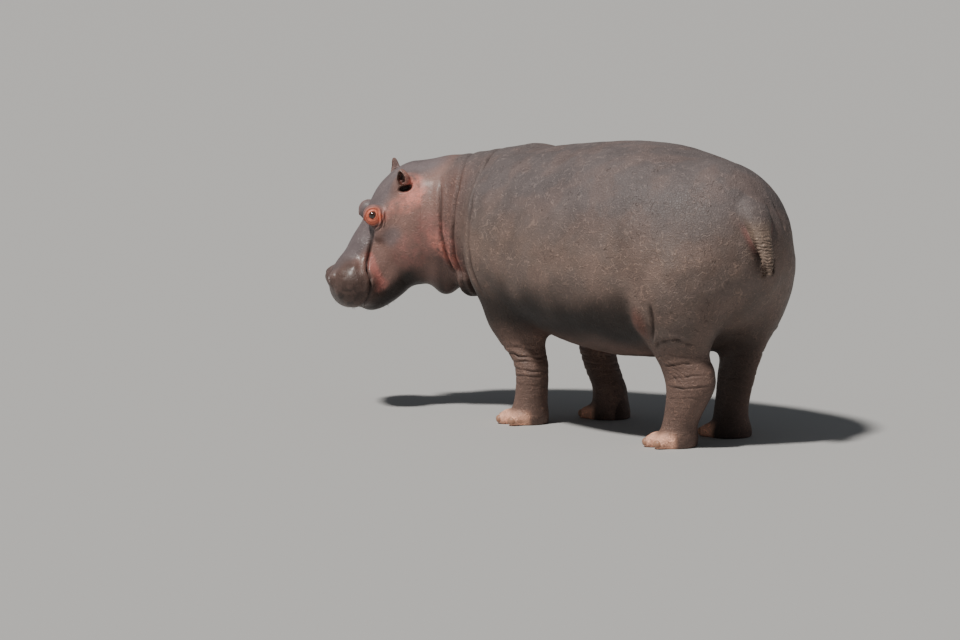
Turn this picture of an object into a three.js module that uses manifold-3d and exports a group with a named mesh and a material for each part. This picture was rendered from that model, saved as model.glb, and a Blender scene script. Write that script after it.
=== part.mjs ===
// A common hippopotamus, an adult cow, standing at rest with her head turned to her left and lowered.
// Millimetres, +Z up. She faces -X and her left side is towards -Y; at the end the whole group is
// moved so that the origin is the bottom centre of the bounding box.
//
// The body is one smooth field, negative inside, put together from lofts and ellipsoids. Each part of
// the body is that field turned into triangles at a size that suits it, then cut out along planes.
import * as THREE from "three";
import { mergeVertices } from "three/addons/utils/BufferGeometryUtils.js";
import Module from "manifold-3d";

const wasm = await Module();
wasm.setup();

// ---- driving dimensions -------------------------------------------------------------------------

const withersTop = 1348; // height of the back over the shoulders
const backTop = 1446; // highest point, over the loin
const bellyBottom = 388; // lowest point of the belly
const chestX = -945; // front of the shoulders
const rumpX = 936; // rearmost point of the buttocks
const bellyHalf = 560; // half the greatest width
const cut = 0.6; // width of the cuts that part the body

const headTurn = 55; // degrees to the left of the trunk
const headDip = 45; // degrees below level
const headCentre = new THREE.Vector3(-1392, -345, 995);

// ---- small mathematics --------------------------------------------------------------------------

const radians = THREE.MathUtils.degToRad;
const mix = THREE.MathUtils.lerp;
const power = (v, n) => Math.pow(Math.abs(v), n);

// The smaller of two distances, rounded where they meet, within k.
function joined(a, b, k) {
  const h = Math.max(k - Math.abs(a - b), 0) / k;
  return Math.min(a, b) - (h * h * k) / 4;
}

// A smooth curve through one column of a table, along its first column, and flat beyond its ends.
function curveOf(table, key) {
  const rows = table.map((row) => [row.x ?? row.z, row[key]]);
  const last = rows.length - 1;
  const slopes = rows.map((row, i) => {
    const before = rows[Math.max(i - 1, 0)];
    const after = rows[Math.min(i + 1, last)];
    return (after[1] - before[1]) / (after[0] - before[0]);
  });
  return (at) => {
    if (at <= rows[0][0]) return rows[0][1];
    if (at >= rows[last][0]) return rows[last][1];
    let i = 0;
    while (at > rows[i + 1][0]) i++;
    const width = rows[i + 1][0] - rows[i][0];
    const t = (at - rows[i][0]) / width;
    const rise = rows[i + 1][1] - rows[i][1];
    const bend = t * (1 - t) * ((1 - t) * (slopes[i] * width - rise) + t * (rise - slopes[i + 1] * width));
    return rows[i][1] + rise * t + bend;
  };
}

// Turns a value that is 1 on a surface into about the distance from it.
function asDistance(value) {
  const step = 2;
  return (x, y, z) => {
    const v = value(x, y, z);
    const gx = (value(x + step, y, z) - v) / step;
    const gy = (value(x, y + step, z) - v) / step;
    const gz = (value(x, y, z + step) - v) / step;
    return (v - 1) / Math.max(Math.hypot(gx, gy, gz), 1e-4);
  };
}

// Distance from an ellipsoid, in the frame its point is in. turn swings it about the frame's third
// axis and then tip raises its first axis towards the third.
function ellipsoid({ at, radii, turn = 0, tip = 0 }) {
  const [ct, st] = [Math.cos(radians(turn)), Math.sin(radians(turn))];
  const [cp, sp] = [Math.cos(radians(tip)), Math.sin(radians(tip))];
  const [rx, ry, rz] = radii;
  return (x, y, z) => {
    const dx = x - at[0];
    const dy = y - at[1];
    const dz = z - at[2];
    const ahead = ct * dx + st * dy;
    const px = cp * ahead + sp * dz;
    const py = ct * dy - st * dx;
    const pz = cp * dz - sp * ahead;
    const k0 = Math.hypot(px / rx, py / ry, pz / rz);
    const k1 = Math.hypot(px / (rx * rx), py / (ry * ry), pz / (rz * rz));
    return k1 < 1e-9 ? -Math.min(rx, ry, rz) : (k0 * (k0 - 1)) / k1;
  };
}

// The same ellipsoid as a three.js sphere, grown by a margin.
function ellipsoidGeometry({ at, radii, turn = 0, tip = 0 }, around, down, grow = 0) {
  const matrix = new THREE.Matrix4()
    .makeRotationZ(radians(turn))
    .multiply(new THREE.Matrix4().makeRotationY(-radians(tip)))
    .setPosition(...at)
    .scale(new THREE.Vector3(...radii.map((r) => r + grow)));
  return new THREE.SphereGeometry(1, around, down).applyMatrix4(matrix);
}

// ---- trunk --------------------------------------------------------------------------------------

// Stations from chest to rump: top and bottom of the midline, half the width and the height of it.
const trunkStations = [
  { x: chestX, top: withersTop - 16, bottom: 600, half: 430, widest: 930 },
  { x: -730, top: withersTop + 14, bottom: 520, half: 480, widest: 900 },
  { x: -430, top: 1406, bottom: 446, half: 522, widest: 860 },
  { x: -50, top: backTop - 2, bottom: bellyBottom, half: bellyHalf, widest: 840 },
  { x: 200, top: backTop - 4, bottom: bellyBottom + 4, half: 552, widest: 850 },
  { x: 500, top: 1398, bottom: 436, half: 506, widest: 880 },
  { x: 760, top: 1390, bottom: 528, half: 440, widest: 915 },
  { x: rumpX, top: 1382, bottom: 588, half: 412, widest: 930 },
];
const trunkSquareness = 2.25; // 2 is an ellipse
const chestRounding = { from: -660, power: 2.6 };
const rumpRounding = { from: 350, power: 2.4 };
const trunkForms = [
  { at: [575, 0, 1080], radii: [295, 290, 298], blend: 60 }, // croup
  { at: [-620, 225, 900], radii: [180, 245, 320], blend: 60, both: true }, // shoulder
  { at: [550, 230, 810], radii: [215, 220, 310], blend: 60, both: true }, // haunch
];

function trunkField() {
  const [top, bottom, half, widest] = ["top", "bottom", "half", "widest"].map((key) =>
    curveOf(trunkStations, key),
  );
  const n = trunkSquareness;
  const barrel = asDistance((x, y, z) => {
    const middle = widest(x);
    const height = z > middle ? top(x) - middle : middle - bottom(x);
    const round = Math.pow(power(y / half(x), n) + power((z - middle) / height, n), 1 / n);
    const front = Math.max(0, (chestRounding.from - x) / (chestRounding.from - chestX));
    const rear = Math.max(0, (x - rumpRounding.from) / (rumpX - rumpRounding.from));
    const p = front > 0 ? chestRounding.power : rumpRounding.power;
    return Math.pow(power(round, p) + power(front + rear, p), 1 / p);
  });
  const forms = trunkForms.map((form) => ({ ...form, away: ellipsoid(form) }));
  return (x, y, z) =>
    forms.reduce(
      (d, form) => joined(d, form.away(x, form.both ? Math.abs(y) : y, z), form.blend),
      barrel(x, y, z),
    );
}

// ---- neck ---------------------------------------------------------------------------------------

// The neck bends from straight ahead to the way the head points, and carries rolls at the throat.
const neckBend = new THREE.QuadraticBezierCurve3(
  new THREE.Vector3(-760, 0, 965),
  new THREE.Vector3(-1110, 0, 962),
  new THREE.Vector3(-1330, -262, 945),
);
const neckSteps = 16;
const neckRoot = { side: 400, up: 418, down: 345 };
const neckEnd = { side: 252, up: 312, down: 305 };
const neckRolls = [
  { at: [-1212, -190, 775], radii: [102, 166, 186], turn: 42, blend: 40 },
  { at: [-1046, -118, 698], radii: [74, 190, 110], turn: 22, blend: 30 },
  { at: [-1215, -150, 1172], radii: [150, 140, 118], turn: 42, blend: 50 }, // nape
];

function neckField() {
  const centres = neckBend.getPoints(neckSteps);
  const rolls = neckRolls.map((roll) => ({ ...roll, away: ellipsoid(roll) }));
  const line = new THREE.Line3();
  const point = new THREE.Vector3();
  const near = new THREE.Vector3();
  return (x, y, z) => {
    point.set(x, y, z);
    let best = Infinity;
    let at = 0;
    for (let i = 0; i < neckSteps; i++) {
      line.set(centres[i], centres[i + 1]);
      const t = line.closestPointToPointParameter(point, true);
      const away = line.at(t, near).distanceToSquared(point);
      if (away >= best) continue;
      best = away;
      at = (i + t) / neckSteps;
    }
    const away = neckBend.getPoint(at).sub(point).negate();
    const tangent = neckBend.getTangent(at);
    const sideways = (away.y * tangent.x - away.x * tangent.y) / Math.hypot(tangent.x, tangent.y);
    const key = away.z > 0 ? "up" : "down";
    const r = Math.hypot(
      sideways / mix(neckRoot.side, neckEnd.side, at),
      away.z / mix(neckRoot[key], neckEnd[key], at),
      away.dot(tangent) / 180,
    );
    const tube = away.length() * (1 - 1 / Math.max(r, 1e-3));
    return rolls.reduce((d, roll) => joined(d, roll.away(x, y, z), roll.blend), tube);
  };
}

// ---- head ---------------------------------------------------------------------------------------

// The head has a frame of its own: forward along the muzzle, left, and up through the forehead.
const headForward = new THREE.Vector3(
  -Math.cos(radians(headTurn)) * Math.cos(radians(headDip)),
  -Math.sin(radians(headTurn)) * Math.cos(radians(headDip)),
  -Math.sin(radians(headDip)),
);
const headLeft = new THREE.Vector3(Math.sin(radians(headTurn)), -Math.cos(radians(headTurn)), 0);
const headUp = new THREE.Vector3().crossVectors(headForward, headLeft);
const headMatrix = new THREE.Matrix4().makeBasis(headForward, headLeft, headUp).setPosition(headCentre);

const headForms = [
  { at: [-70, 0, 24], radii: [225, 178, 166], blend: 1 }, // skull
  { at: [-140, 0, -110], radii: [175, 205, 195], blend: 90 }, // back of the jaw
  { at: [215, 0, 10], radii: [275, 112, 96], tip: -14, blend: 60 }, // bridge of the nose
  { at: [420, 0, -46], radii: [118, 196, 98], tip: -30, blend: 60 }, // muzzle
  { at: [458, 0, -86], radii: [84, 170, 84], tip: -8, blend: 50 }, // front of the upper lip
  { at: [224, 0, -194], radii: [240, 142, 100], tip: -2, blend: 60 }, // lower jaw
  { at: [368, 0, -188], radii: [92, 138, 60], tip: -4, blend: 40 }, // chin
  { at: [20, 112, -120], radii: [190, 118, 168], both: true, blend: 70 }, // cheek
  { at: [40, 122, 46], radii: [130, 56, 60], tip: -8, both: true, blend: 50 }, // cheekbone
  { at: [410, 122, -76], radii: [104, 92, 104], tip: -14, both: true, blend: 50 }, // swell over the tusk
  { at: [464, 84, 12], radii: [46, 40, 42], tip: -20, both: true, blend: 34 }, // nostril mound
  { at: [262, 74, -96], radii: [92, 62, 96], both: true, blend: 70 }, // corner of the lips
];
const eyeMound = { at: [98, 134, 118], radii: [54, 46, 55], blend: 30 };
const earMound = { at: [-118, 132, 124], radii: [58, 44, 50], blend: 40 };
const eyeball = { at: [100, 156, 124], radii: [24, 24, 24] };
const nostril = { at: [476, 92, 44], radii: [24, 13, 24], turn: 20, tip: -25 };
const earPit = { at: [-113, 186, 104], radii: [46, 30, 21], tip: 23 };

function headField() {
  const mounds = [eyeMound, earMound].map((form) => ({ ...form, both: true }));
  const forms = [...headForms, ...mounds].map((form) => ({ ...form, away: ellipsoid(form) }));
  const point = new THREE.Vector3();
  return (x, y, z) => {
    point.set(x, y, z).sub(headCentre);
    const forward = point.dot(headForward);
    const left = point.dot(headLeft);
    const up = point.dot(headUp);
    return forms.reduce(
      (d, form) => joined(d, form.away(forward, form.both ? Math.abs(left) : left, up), form.blend),
      1e3,
    );
  };
}

// ---- legs ---------------------------------------------------------------------------------------

// Sections up a leg: height, half length and half width. They turn with the foot.
const frontSections = [
  { z: 0, length: 100, width: 108 },
  { z: 40, length: 98, width: 106 },
  { z: 100, length: 86, width: 93 },
  { z: 160, length: 81, width: 89 },
  { z: 280, length: 83, width: 92 },
  { z: 337, length: 90, width: 95 },
  { z: 400, length: 114, width: 105 },
  { z: 500, length: 150, width: 130 },
  { z: 640, length: 165, width: 150 },
  { z: 900, length: 190, width: 160 },
];
const hindSections = [
  { z: 0, length: 104, width: 110 },
  { z: 40, length: 102, width: 107 },
  { z: 107, length: 90, width: 86 },
  { z: 194, length: 100, width: 80 },
  { z: 288, length: 123, width: 77 },
  { z: 379, length: 137, width: 78 },
  { z: 461, length: 143, width: 94 },
  { z: 530, length: 165, width: 122 },
  { z: 640, length: 205, width: 155 },
  { z: 900, length: 240, width: 170 },
];
const legTop = { from: 760, to: 1040 }; // where a leg rounds off inside the trunk

// Each leg: where it stands, how far it and its toes turn out, and how far the leg's middle lies
// behind and outside the foot's on the way up.
const legs = [
  {
    name: "front_left",
    sections: frontSections,
    x: -533,
    y: -235,
    turn: 24,
    toeTurn: 40,
    reach: { from: -790, to: -400 },
    course: [
      { z: 0, back: 0, out: 0 },
      { z: 160, back: 25, out: 0 },
      { z: 300, back: 20, out: 0 },
      { z: 400, back: -32, out: 6 },
      { z: 500, back: -55, out: 25 },
      { z: 900, back: -100, out: 50 },
    ],
  },
  {
    name: "front_right",
    sections: frontSections,
    x: -390,
    y: 190,
    turn: 10,
    toeTurn: 14,
    reach: { from: -740, to: -285 },
    course: [
      { z: 0, back: 0, out: 0 },
      { z: 150, back: 0, out: 0 },
      { z: 230, back: -42, out: 0 },
      { z: 320, back: -90, out: 5 },
      { z: 500, back: -165, out: 45 },
      { z: 900, back: -230, out: 75 },
    ],
  },
  {
    name: "hind_left",
    sections: hindSections,
    x: 547,
    y: -235,
    turn: 24,
    toeTurn: 36,
    reach: { from: 430, to: 850 },
    course: [
      { z: 0, back: 0, out: 0 },
      { z: 107, back: 29, out: 0 },
      { z: 194, back: 65, out: 0 },
      { z: 300, back: 102, out: 0 },
      { z: 380, back: 92, out: 5 },
      { z: 470, back: 58, out: 20 },
      { z: 900, back: 70, out: 60 },
    ],
  },
  {
    name: "hind_right",
    sections: hindSections,
    x: 476,
    y: 200,
    turn: 12,
    toeTurn: 16,
    reach: { from: 350, to: 850 },
    course: [
      { z: 0, back: 0, out: 0 },
      { z: 150, back: 14, out: 0 },
      { z: 250, back: 30, out: 0 },
      { z: 340, back: 52, out: 0 },
      { z: 460, back: 86, out: 5 },
      { z: 640, back: 105, out: 4 },
      { z: 900, back: 145, out: 25 },
    ],
  },
];

function legField({ sections, course, x: footX, y: footY, turn }) {
  const [length, width] = ["length", "width"].map((key) => curveOf(sections, key));
  const [back, out] = ["back", "out"].map((key) => curveOf(course, key));
  const side = Math.sign(footY);
  const c = Math.cos(radians(turn));
  const s = Math.sin(radians(turn)) * side;
  return asDistance((x, y, z) => {
    const dx = x - footX - back(z);
    const dy = y - footY - out(z) * side;
    const top = Math.max(0, (z - legTop.from) / (legTop.to - legTop.from));
    return Math.hypot((dx * c - dy * s) / length(z), (dx * s + dy * c) / width(z), top);
  });
}

// ---- feet ---------------------------------------------------------------------------------------

const toeWays = [-62, -21, 21, 62]; // degrees from straight ahead
const toe = { reach: 106, side: 12, length: 62, width: 40, height: 38, lift: 27 };
const nail = { reach: 151, side: 12, length: 21, width: 25, height: 21, lift: 25 };

// A toe or a nail, as an ellipsoid that points away from the middle of the foot. The outer and inner
// ones are a little shorter.
function toeForm(leg, way, { reach, side, length, width, height, lift }) {
  const angle = 180 - (way + leg.toeTurn * Math.sign(leg.y));
  const distance = reach - side * Math.abs(Math.sin(radians(way)));
  const x = leg.x + Math.cos(radians(angle)) * distance;
  const y = leg.y + Math.sin(radians(angle)) * distance;
  return { at: [x, y, lift], radii: [length, width, height], turn: angle, tip: -8 };
}

function footField(leg) {
  const toes = toeWays.map((way) => ellipsoid(toeForm(leg, way, toe)));
  return (x, y, z) => toes.reduce((d, form) => joined(d, form(x, y, z), 16), 1e3);
}

// ---- tail ---------------------------------------------------------------------------------------

// Stations down the tail: height, how far back its middle lies and how far over to her left, half
// thickness and half width.
const tailStations = [
  { z: 820, back: 992, over: 64, thick: 15, wide: 18 },
  { z: 866, back: 992, over: 52, thick: 19, wide: 23 },
  { z: 918, back: 988, over: 47, thick: 24, wide: 33 },
  { z: 972, back: 976, over: 45, thick: 30, wide: 42 },
  { z: 1043, back: 950, over: 48, thick: 38, wide: 52 },
  { z: 1131, back: 905, over: 40, thick: 50, wide: 76 },
  { z: 1240, back: 830, over: 20, thick: 62, wide: 92 },
];
const tailEnds = { tip: 812, tipFrom: 866, rootFrom: 1150, root: 1240 };

function tailField() {
  const keys = ["back", "over", "thick", "wide"];
  const [back, over, thick, wide] = keys.map((key) => curveOf(tailStations, key));
  const { tip, tipFrom, rootFrom, root } = tailEnds;
  return asDistance((x, y, z) => {
    const end = Math.max(0, (tipFrom - z) / (tipFrom - tip), (z - rootFrom) / (root - rootFrom));
    return Math.hypot((x - back(z)) / thick(z), (y + over(z)) / wide(z), end);
  });
}

// ---- the whole animal ---------------------------------------------------------------------------

const blends = { neck: 60, head: 60, tail: 24, leg: 80, foot: 26 };

const trunkAway = trunkField();
const neckAway = neckField();
const headAway = headField();
const tailAway = tailField();
const limbs = legs.map((leg) => ({ leg, away: legField(leg), footAway: footField(leg) }));

function bodyField(x, y, z) {
  let d = joined(trunkAway(x, y, z), neckAway(x, y, z), blends.neck);
  if (x < -900) d = joined(d, headAway(x, y, z), blends.head);
  if (x > 600) d = joined(d, tailAway(x, y, z), blends.tail);
  for (const { leg, away, footAway } of limbs) {
    if (Math.abs(x - leg.x) > 600) continue;
    d = joined(d, away(x, y, z), blends.leg);
    if (z < 220) d = joined(d, footAway(x, y, z), blends.foot);
  }
  return d;
}

// ---- from field to triangles --------------------------------------------------------------------

const steps = [[1, 0, 0], [0, 1, 0], [0, 0, 1]];

// Surface nets on a grid of boxes: one vertex for each box that the surface crosses, pulled onto the
// surface, and one quad for each crossed edge. The rim of the grid counts as outside.
function surfaceOf(field, low, high, size) {
  const [nx, ny, nz] = low.map((v, axis) => Math.ceil((high[axis] - v) / size[axis]) + 1);
  const index = (i, j, k) => (k * ny + j) * nx + i;
  const place = (i, j, k) => [low[0] + i * size[0], low[1] + j * size[1], low[2] + k * size[2]];
  const values = new Float64Array(nx * ny * nz);
  const boxes = [];
  for (let k = 0; k < nz; k++)
    for (let j = 0; j < ny; j++)
      for (let i = 0; i < nx; i++) {
        const rim = i === 0 || j === 0 || k === 0 || i === nx - 1 || j === ny - 1 || k === nz - 1;
        const value = field(...place(i, j, k));
        values[index(i, j, k)] = rim ? Math.max(value, 0.3) : value;
        if (i < nx - 1 && j < ny - 1 && k < nz - 1) boxes.push([i, j, k]);
      }

  // Where the surface would cross all four edges of a square, two sheets would share a vertex, so
  // the nearer of its two outside corners is counted as inside.
  let mended = true;
  while (mended) {
    mended = false;
    for (const [i, j, k] of boxes)
      for (let axis = 0; axis < 3; axis++) {
        const [u, v] = [steps[(axis + 1) % 3], steps[(axis + 2) % 3]];
        const square = [[0, 0], [1, 0], [1, 1], [0, 1]].map(([a, b]) =>
          index(i + a * u[0] + b * v[0], j + a * u[1] + b * v[1], k + a * u[2] + b * v[2]),
        );
        const outside = square.filter((corner) => values[corner] >= 0);
        if (outside.length !== 2 || (square.indexOf(outside[1]) - square.indexOf(outside[0])) % 2) continue;
        values[values[outside[0]] < values[outside[1]] ? outside[0] : outside[1]] = -0.3;
        mended = true;
      }
  }

  const vertexOf = new Int32Array(nx * ny * nz);
  const points = [];
  for (const [i, j, k] of boxes) {
    const crossings = [];
    for (let a = 0; a < 8; a++)
      for (const bit of [1, 2, 4]) {
        if (a & bit) continue;
        const [from, to] = [a, a | bit].map((c) => [i + (c & 1), j + ((c >> 1) & 1), k + (c >> 2)]);
        const [va, vb] = [values[index(...from)], values[index(...to)]];
        if (va < 0 === vb < 0) continue;
        const t = va / (va - vb);
        crossings.push(place(...from.map((v, axis) => mix(v, to[axis], t))));
      }
    if (!crossings.length) continue;
    const middle = [0, 1, 2].map(
      (axis) => crossings.reduce((sum, p) => sum + p[axis], 0) / crossings.length,
    );
    vertexOf[index(i, j, k)] = points.length;
    points.push(settled(field, middle, size, low, high));
  }

  const triangles = [];
  for (const [i, j, k] of boxes)
    for (let axis = 0; axis < 3; axis++) {
      const [si, sj, sk] = steps[axis];
      const inside = values[index(i, j, k)] < 0;
      if (inside === values[index(i + si, j + sj, k + sk)] < 0) continue;
      const [u, v] = [steps[(axis + 1) % 3], steps[(axis + 2) % 3]];
      const quad = [[0, 0], [1, 0], [1, 1], [0, 1]].map(([a, b]) => {
        const [di, dj, dk] = [0, 1, 2].map((n) => a * u[n] + b * v[n]);
        return vertexOf[index(i - di, j - dj, k - dk)];
      });
      if (!inside) quad.reverse();
      const [a, b, c, d] = quad;
      const gap = (p, q) => Math.hypot(...points[p].map((value, n) => value - points[q][n]));
      if (gap(a, c) < gap(b, d)) triangles.push(a, b, c, a, c, d);
      else triangles.push(a, b, d, b, c, d);
    }
  return { points, triangles };
}

// A grid vertex moved along the field's slope towards the surface, by less than half a box.
function settled(field, at, size, low, high) {
  if (at.some((v, axis) => v < low[axis] + size[axis] || v > high[axis] - size[axis])) return at;
  const step = 1;
  const value = field(...at);
  const slope = [0, 1, 2].map((axis) => field(...at.map((v, n) => v + (n === axis ? step : 0))) - value);
  const steep = Math.max(slope.reduce((sum, v) => sum + v * v, 0), 0.3);
  const most = Math.min(...size) * 0.4;
  const move = THREE.MathUtils.clamp(value / steep, -most, most);
  return at.map((v, axis) => v - slope[axis] * move);
}

const solidOfLists = (points, triangles) =>
  new wasm.Manifold(
    new wasm.Mesh({
      numProp: 3,
      vertProperties: new Float32Array(points),
      triVerts: new Uint32Array(triangles),
    }),
  );

// A block of the body, from its lowest to its highest corner, at a size of grid.
function bodySolid(low, high, size) {
  const { points, triangles } = surfaceOf(bodyField, low, high, size);
  return solidOfLists(points.flat(), triangles);
}

// A closed three.js geometry as a solid.
function solidOf(geometry, matrix = new THREE.Matrix4()) {
  const bare = geometry.clone().applyMatrix4(matrix);
  bare.deleteAttribute("normal");
  bare.deleteAttribute("uv");
  const merged = mergeVertices(bare, 1e-3);
  return solidOfLists(merged.attributes.position.array, merged.index.array);
}

// A solid as a geometry, with its shortest edges closed up.
function geometryOf(solid) {
  const mesh = solid.getMesh();
  const geometry = mergeVertices(
    new THREE.BufferGeometry()
      .setAttribute("position", new THREE.BufferAttribute(Float32Array.from(mesh.vertProperties), 3))
      .setIndex(new THREE.BufferAttribute(Uint32Array.from(mesh.triVerts), 1)),
    0.05,
  );
  const corners = Array.from(geometry.index.array);
  const kept = [];
  for (let i = 0; i < corners.length; i += 3) {
    const [a, b, c] = corners.slice(i, i + 3);
    if (a !== b && b !== c && c !== a) kept.push(a, b, c);
  }
  return geometry.setIndex(kept);
}

// Everything on the side of a plane that its normal points away from, as a very large box.
const far = 2500;
function behind(at, normal, inset = 0) {
  const n = normal.clone().normalize();
  const matrix = new THREE.Matrix4()
    .makeRotationFromQuaternion(new THREE.Quaternion().setFromUnitVectors(new THREE.Vector3(0, 0, 1), n))
    .setPosition(at.clone().addScaledVector(n, -far - inset));
  return solidOf(new THREE.BoxGeometry(4 * far, 4 * far, 2 * far), matrix);
}
const ahead = (at, normal, inset = 0) => behind(at, normal.clone().negate(), inset);

const up = new THREE.Vector3(0, 0, 1);
const aboveHeight = (z) => ahead(new THREE.Vector3(0, 0, z), up);
const belowHeight = (z) => behind(new THREE.Vector3(0, 0, z), up);

// ---- materials ----------------------------------------------------------------------------------

const materialOf = (color, roughness) => new THREE.MeshStandardMaterial({ color, roughness, metalness: 0 });
const hide = materialOf(0x6e5f5c, 0.62);
const faceHide = materialOf(0x7a5a58, 0.45);
const earHide = materialOf(0x9a5f52, 0.5);
const horn = materialOf(0xc9a089, 0.5);
const eyeGlaze = materialOf(0x1d120d, 0.08);

const hippopotamus = new THREE.Group();

function add(name, solid, material) {
  const mesh = new THREE.Mesh(geometryOf(solid), material);
  mesh.name = name;
  hippopotamus.add(mesh);
}

// ---- where the body is parted -------------------------------------------------------------------

const neckCut = { at: new THREE.Vector3(-890, -100, 965), normal: new THREE.Vector3(-0.91, -0.41, 0.03) };
const headCut = { at: new THREE.Vector3(-1262, -205, 960), normal: new THREE.Vector3(-0.66, -0.68, -0.32) };
const tailCut = { at: new THREE.Vector3(932, 0, 1050), normal: new THREE.Vector3(0.99, 0, 0.1) };
const ankle = 112; // a foot is parted from its leg at this height

// The slanting plane that a leg is parted from the trunk by: its height at the middle of the body
// and out at the side.
const legCuts = { middle: 385, wide: 700, front: 690, hind: 740 };

// The space that a leg's node takes: below the slanting plane and between two planes across.
function legCell(leg, grow) {
  const side = Math.sign(leg.y);
  const { middle, wide } = legCuts;
  const outer = leg.name.startsWith("front") ? legCuts.front : legCuts.hind;
  const inner = 14 - grow;
  const outline = new THREE.Shape();
  outline.moveTo(inner, -50);
  outline.lineTo(wide, -50);
  outline.lineTo(wide, outer + grow);
  outline.lineTo(inner, middle + grow);
  const { from, to } = leg.reach;
  const prism = new THREE.ExtrudeGeometry(outline, { depth: to - from + 2 * grow, bevelEnabled: false });
  // The outline's first axis goes out from the body and its second goes up.
  const matrix = new THREE.Matrix4()
    .makeBasis(new THREE.Vector3(0, side, 0), up, new THREE.Vector3(side, 0, 0))
    .setPosition(side > 0 ? from - grow : to + grow, 0, 0);
  return solidOf(prism, matrix);
}

// ---- trunk, neck and tail -----------------------------------------------------------------------

const tailSpace = (grow) =>
  solidOf(
    new THREE.BoxGeometry(300, 240 + 2 * grow, 500 + 2 * grow),
    new THREE.Matrix4().makeTranslation(1030, -30, 1040),
  ).intersect(ahead(tailCut.at, tailCut.normal, -grow));

let trunk = bodySolid([-1160, -680, 280], [1120, 680, 1560], [130, 112, 110]);
trunk = trunk.intersect(behind(neckCut.at, neckCut.normal)).subtract(tailSpace(cut));
for (const leg of legs) trunk = trunk.subtract(legCell(leg, cut));
add("trunk", trunk, hide);

const neck = bodySolid([-1560, -760, 420], [-660, 560, 1560], [92, 92, 92])
  .intersect(ahead(neckCut.at, neckCut.normal, cut))
  .intersect(behind(headCut.at, headCut.normal));
add("neck", neck, hide);

const tail = bodySolid([862, -190, 776], [1070, 120, 1330], [29, 31, 46]);
add("tail", tail.intersect(tailSpace(0)), hide);

// ---- head, jaw, ears and eyes -------------------------------------------------------------------

const mirrored = (form, side) => ({
  ...form,
  at: [form.at[0], form.at[1] * side, form.at[2]],
  turn: (form.turn ?? 0) * side,
});
const headPiece = (form, side, around, down, grow = 0) =>
  solidOf(ellipsoidGeometry(mirrored(form, side), around, down, grow), headMatrix);

// An ear: a small cup on its side, opening outwards and forwards, with its tip leaning back.
const ear = {
  at: [-139, 176, 147], depth: 52, radius: 34, wall: 8, stretch: 1.35, swing: 28, lift: 34, lean: 40,
};
function earMatrix(side) {
  const out = new THREE.Vector3(
    Math.sin(radians(ear.swing)),
    Math.cos(radians(ear.swing)) * Math.cos(radians(ear.lift)) * side,
    Math.cos(radians(ear.swing)) * Math.sin(radians(ear.lift)),
  ).normalize();
  const across = new THREE.Vector3(1, 0, 0).addScaledVector(out, -out.x).normalize();
  const along = new THREE.Vector3().crossVectors(out, across);
  return new THREE.Matrix4()
    .makeBasis(across, out, along.negate())
    .setPosition(ear.at[0], ear.at[1] * side, ear.at[2])
    .multiply(new THREE.Matrix4().makeRotationY(-radians(ear.lean) * side))
    .multiply(new THREE.Matrix4().makeScale(1, 1, ear.stretch))
    .premultiply(headMatrix);
}
// The cup's profile from its root, out over the rim and down into the hollow.
const earProfile = (() => {
  const { depth, radius, wall } = ear;
  const outline = new THREE.Path();
  outline.moveTo(0, -depth * 0.5);
  outline.quadraticCurveTo(radius * 0.95, -depth * 0.45, radius, depth * 0.1);
  outline.quadraticCurveTo(radius, depth * 0.4, radius * 0.72, depth * 0.5);
  outline.lineTo(radius * 0.72 - wall, depth * 0.44);
  outline.quadraticCurveTo(radius - wall, depth * 0.2, (radius - wall) * 0.8, -depth * 0.08);
  outline.quadraticCurveTo(radius * 0.4, -depth * 0.24, 0, -depth * 0.24);
  return outline.getPoints(2);
})();
// The same without the hollow and a little larger, to clear its room in the head.
const earHull = [
  new THREE.Vector2(0, -ear.depth * 0.5 - 1),
  ...earProfile.slice(1, 6).map((point) => new THREE.Vector2(point.x + 1, point.y)),
  new THREE.Vector2(0, ear.depth * 0.5 + 2),
];
const earCup = (side, profile) => solidOf(new THREE.LatheGeometry(profile, 10), earMatrix(side));

// The mouth line and the back of the jaw, as a loop forward and up in the head's frame.
const jawLoop = [[640, -178], [432, -180], [366, -122], [306, -50], [280, -64], [70, -440], [640, -440]].map(
  ([x, y]) => new THREE.Vector2(x, y),
);

// A loop that turns to its left, with each side moved outwards.
function grownLoop(loop, grow) {
  return loop.map((point, i) => {
    const before = loop[(i + loop.length - 1) % loop.length];
    const after = loop[(i + 1) % loop.length];
    const [a, b] = [point.clone().sub(before), after.clone().sub(point)].map((way) => way.normalize());
    const [na, nb] = [a, b].map((way) => new THREE.Vector2(way.y, -way.x));
    return na.clone().add(nb).multiplyScalar(grow / (1 + na.dot(nb))).add(point);
  });
}

function jawSpace(grow) {
  const outline = new THREE.Shape(grownLoop(jawLoop, grow));
  const prism = new THREE.ExtrudeGeometry(outline, { depth: 700, bevelEnabled: false });
  // The outline's axes are forward and up; the prism runs to the right, right through the head.
  const matrix = new THREE.Matrix4()
    .makeBasis(new THREE.Vector3(1, 0, 0), new THREE.Vector3(0, 0, 1), new THREE.Vector3(0, -1, 0))
    .setPosition(0, 350, 0)
    .premultiply(headMatrix);
  return solidOf(prism, matrix);
}

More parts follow.
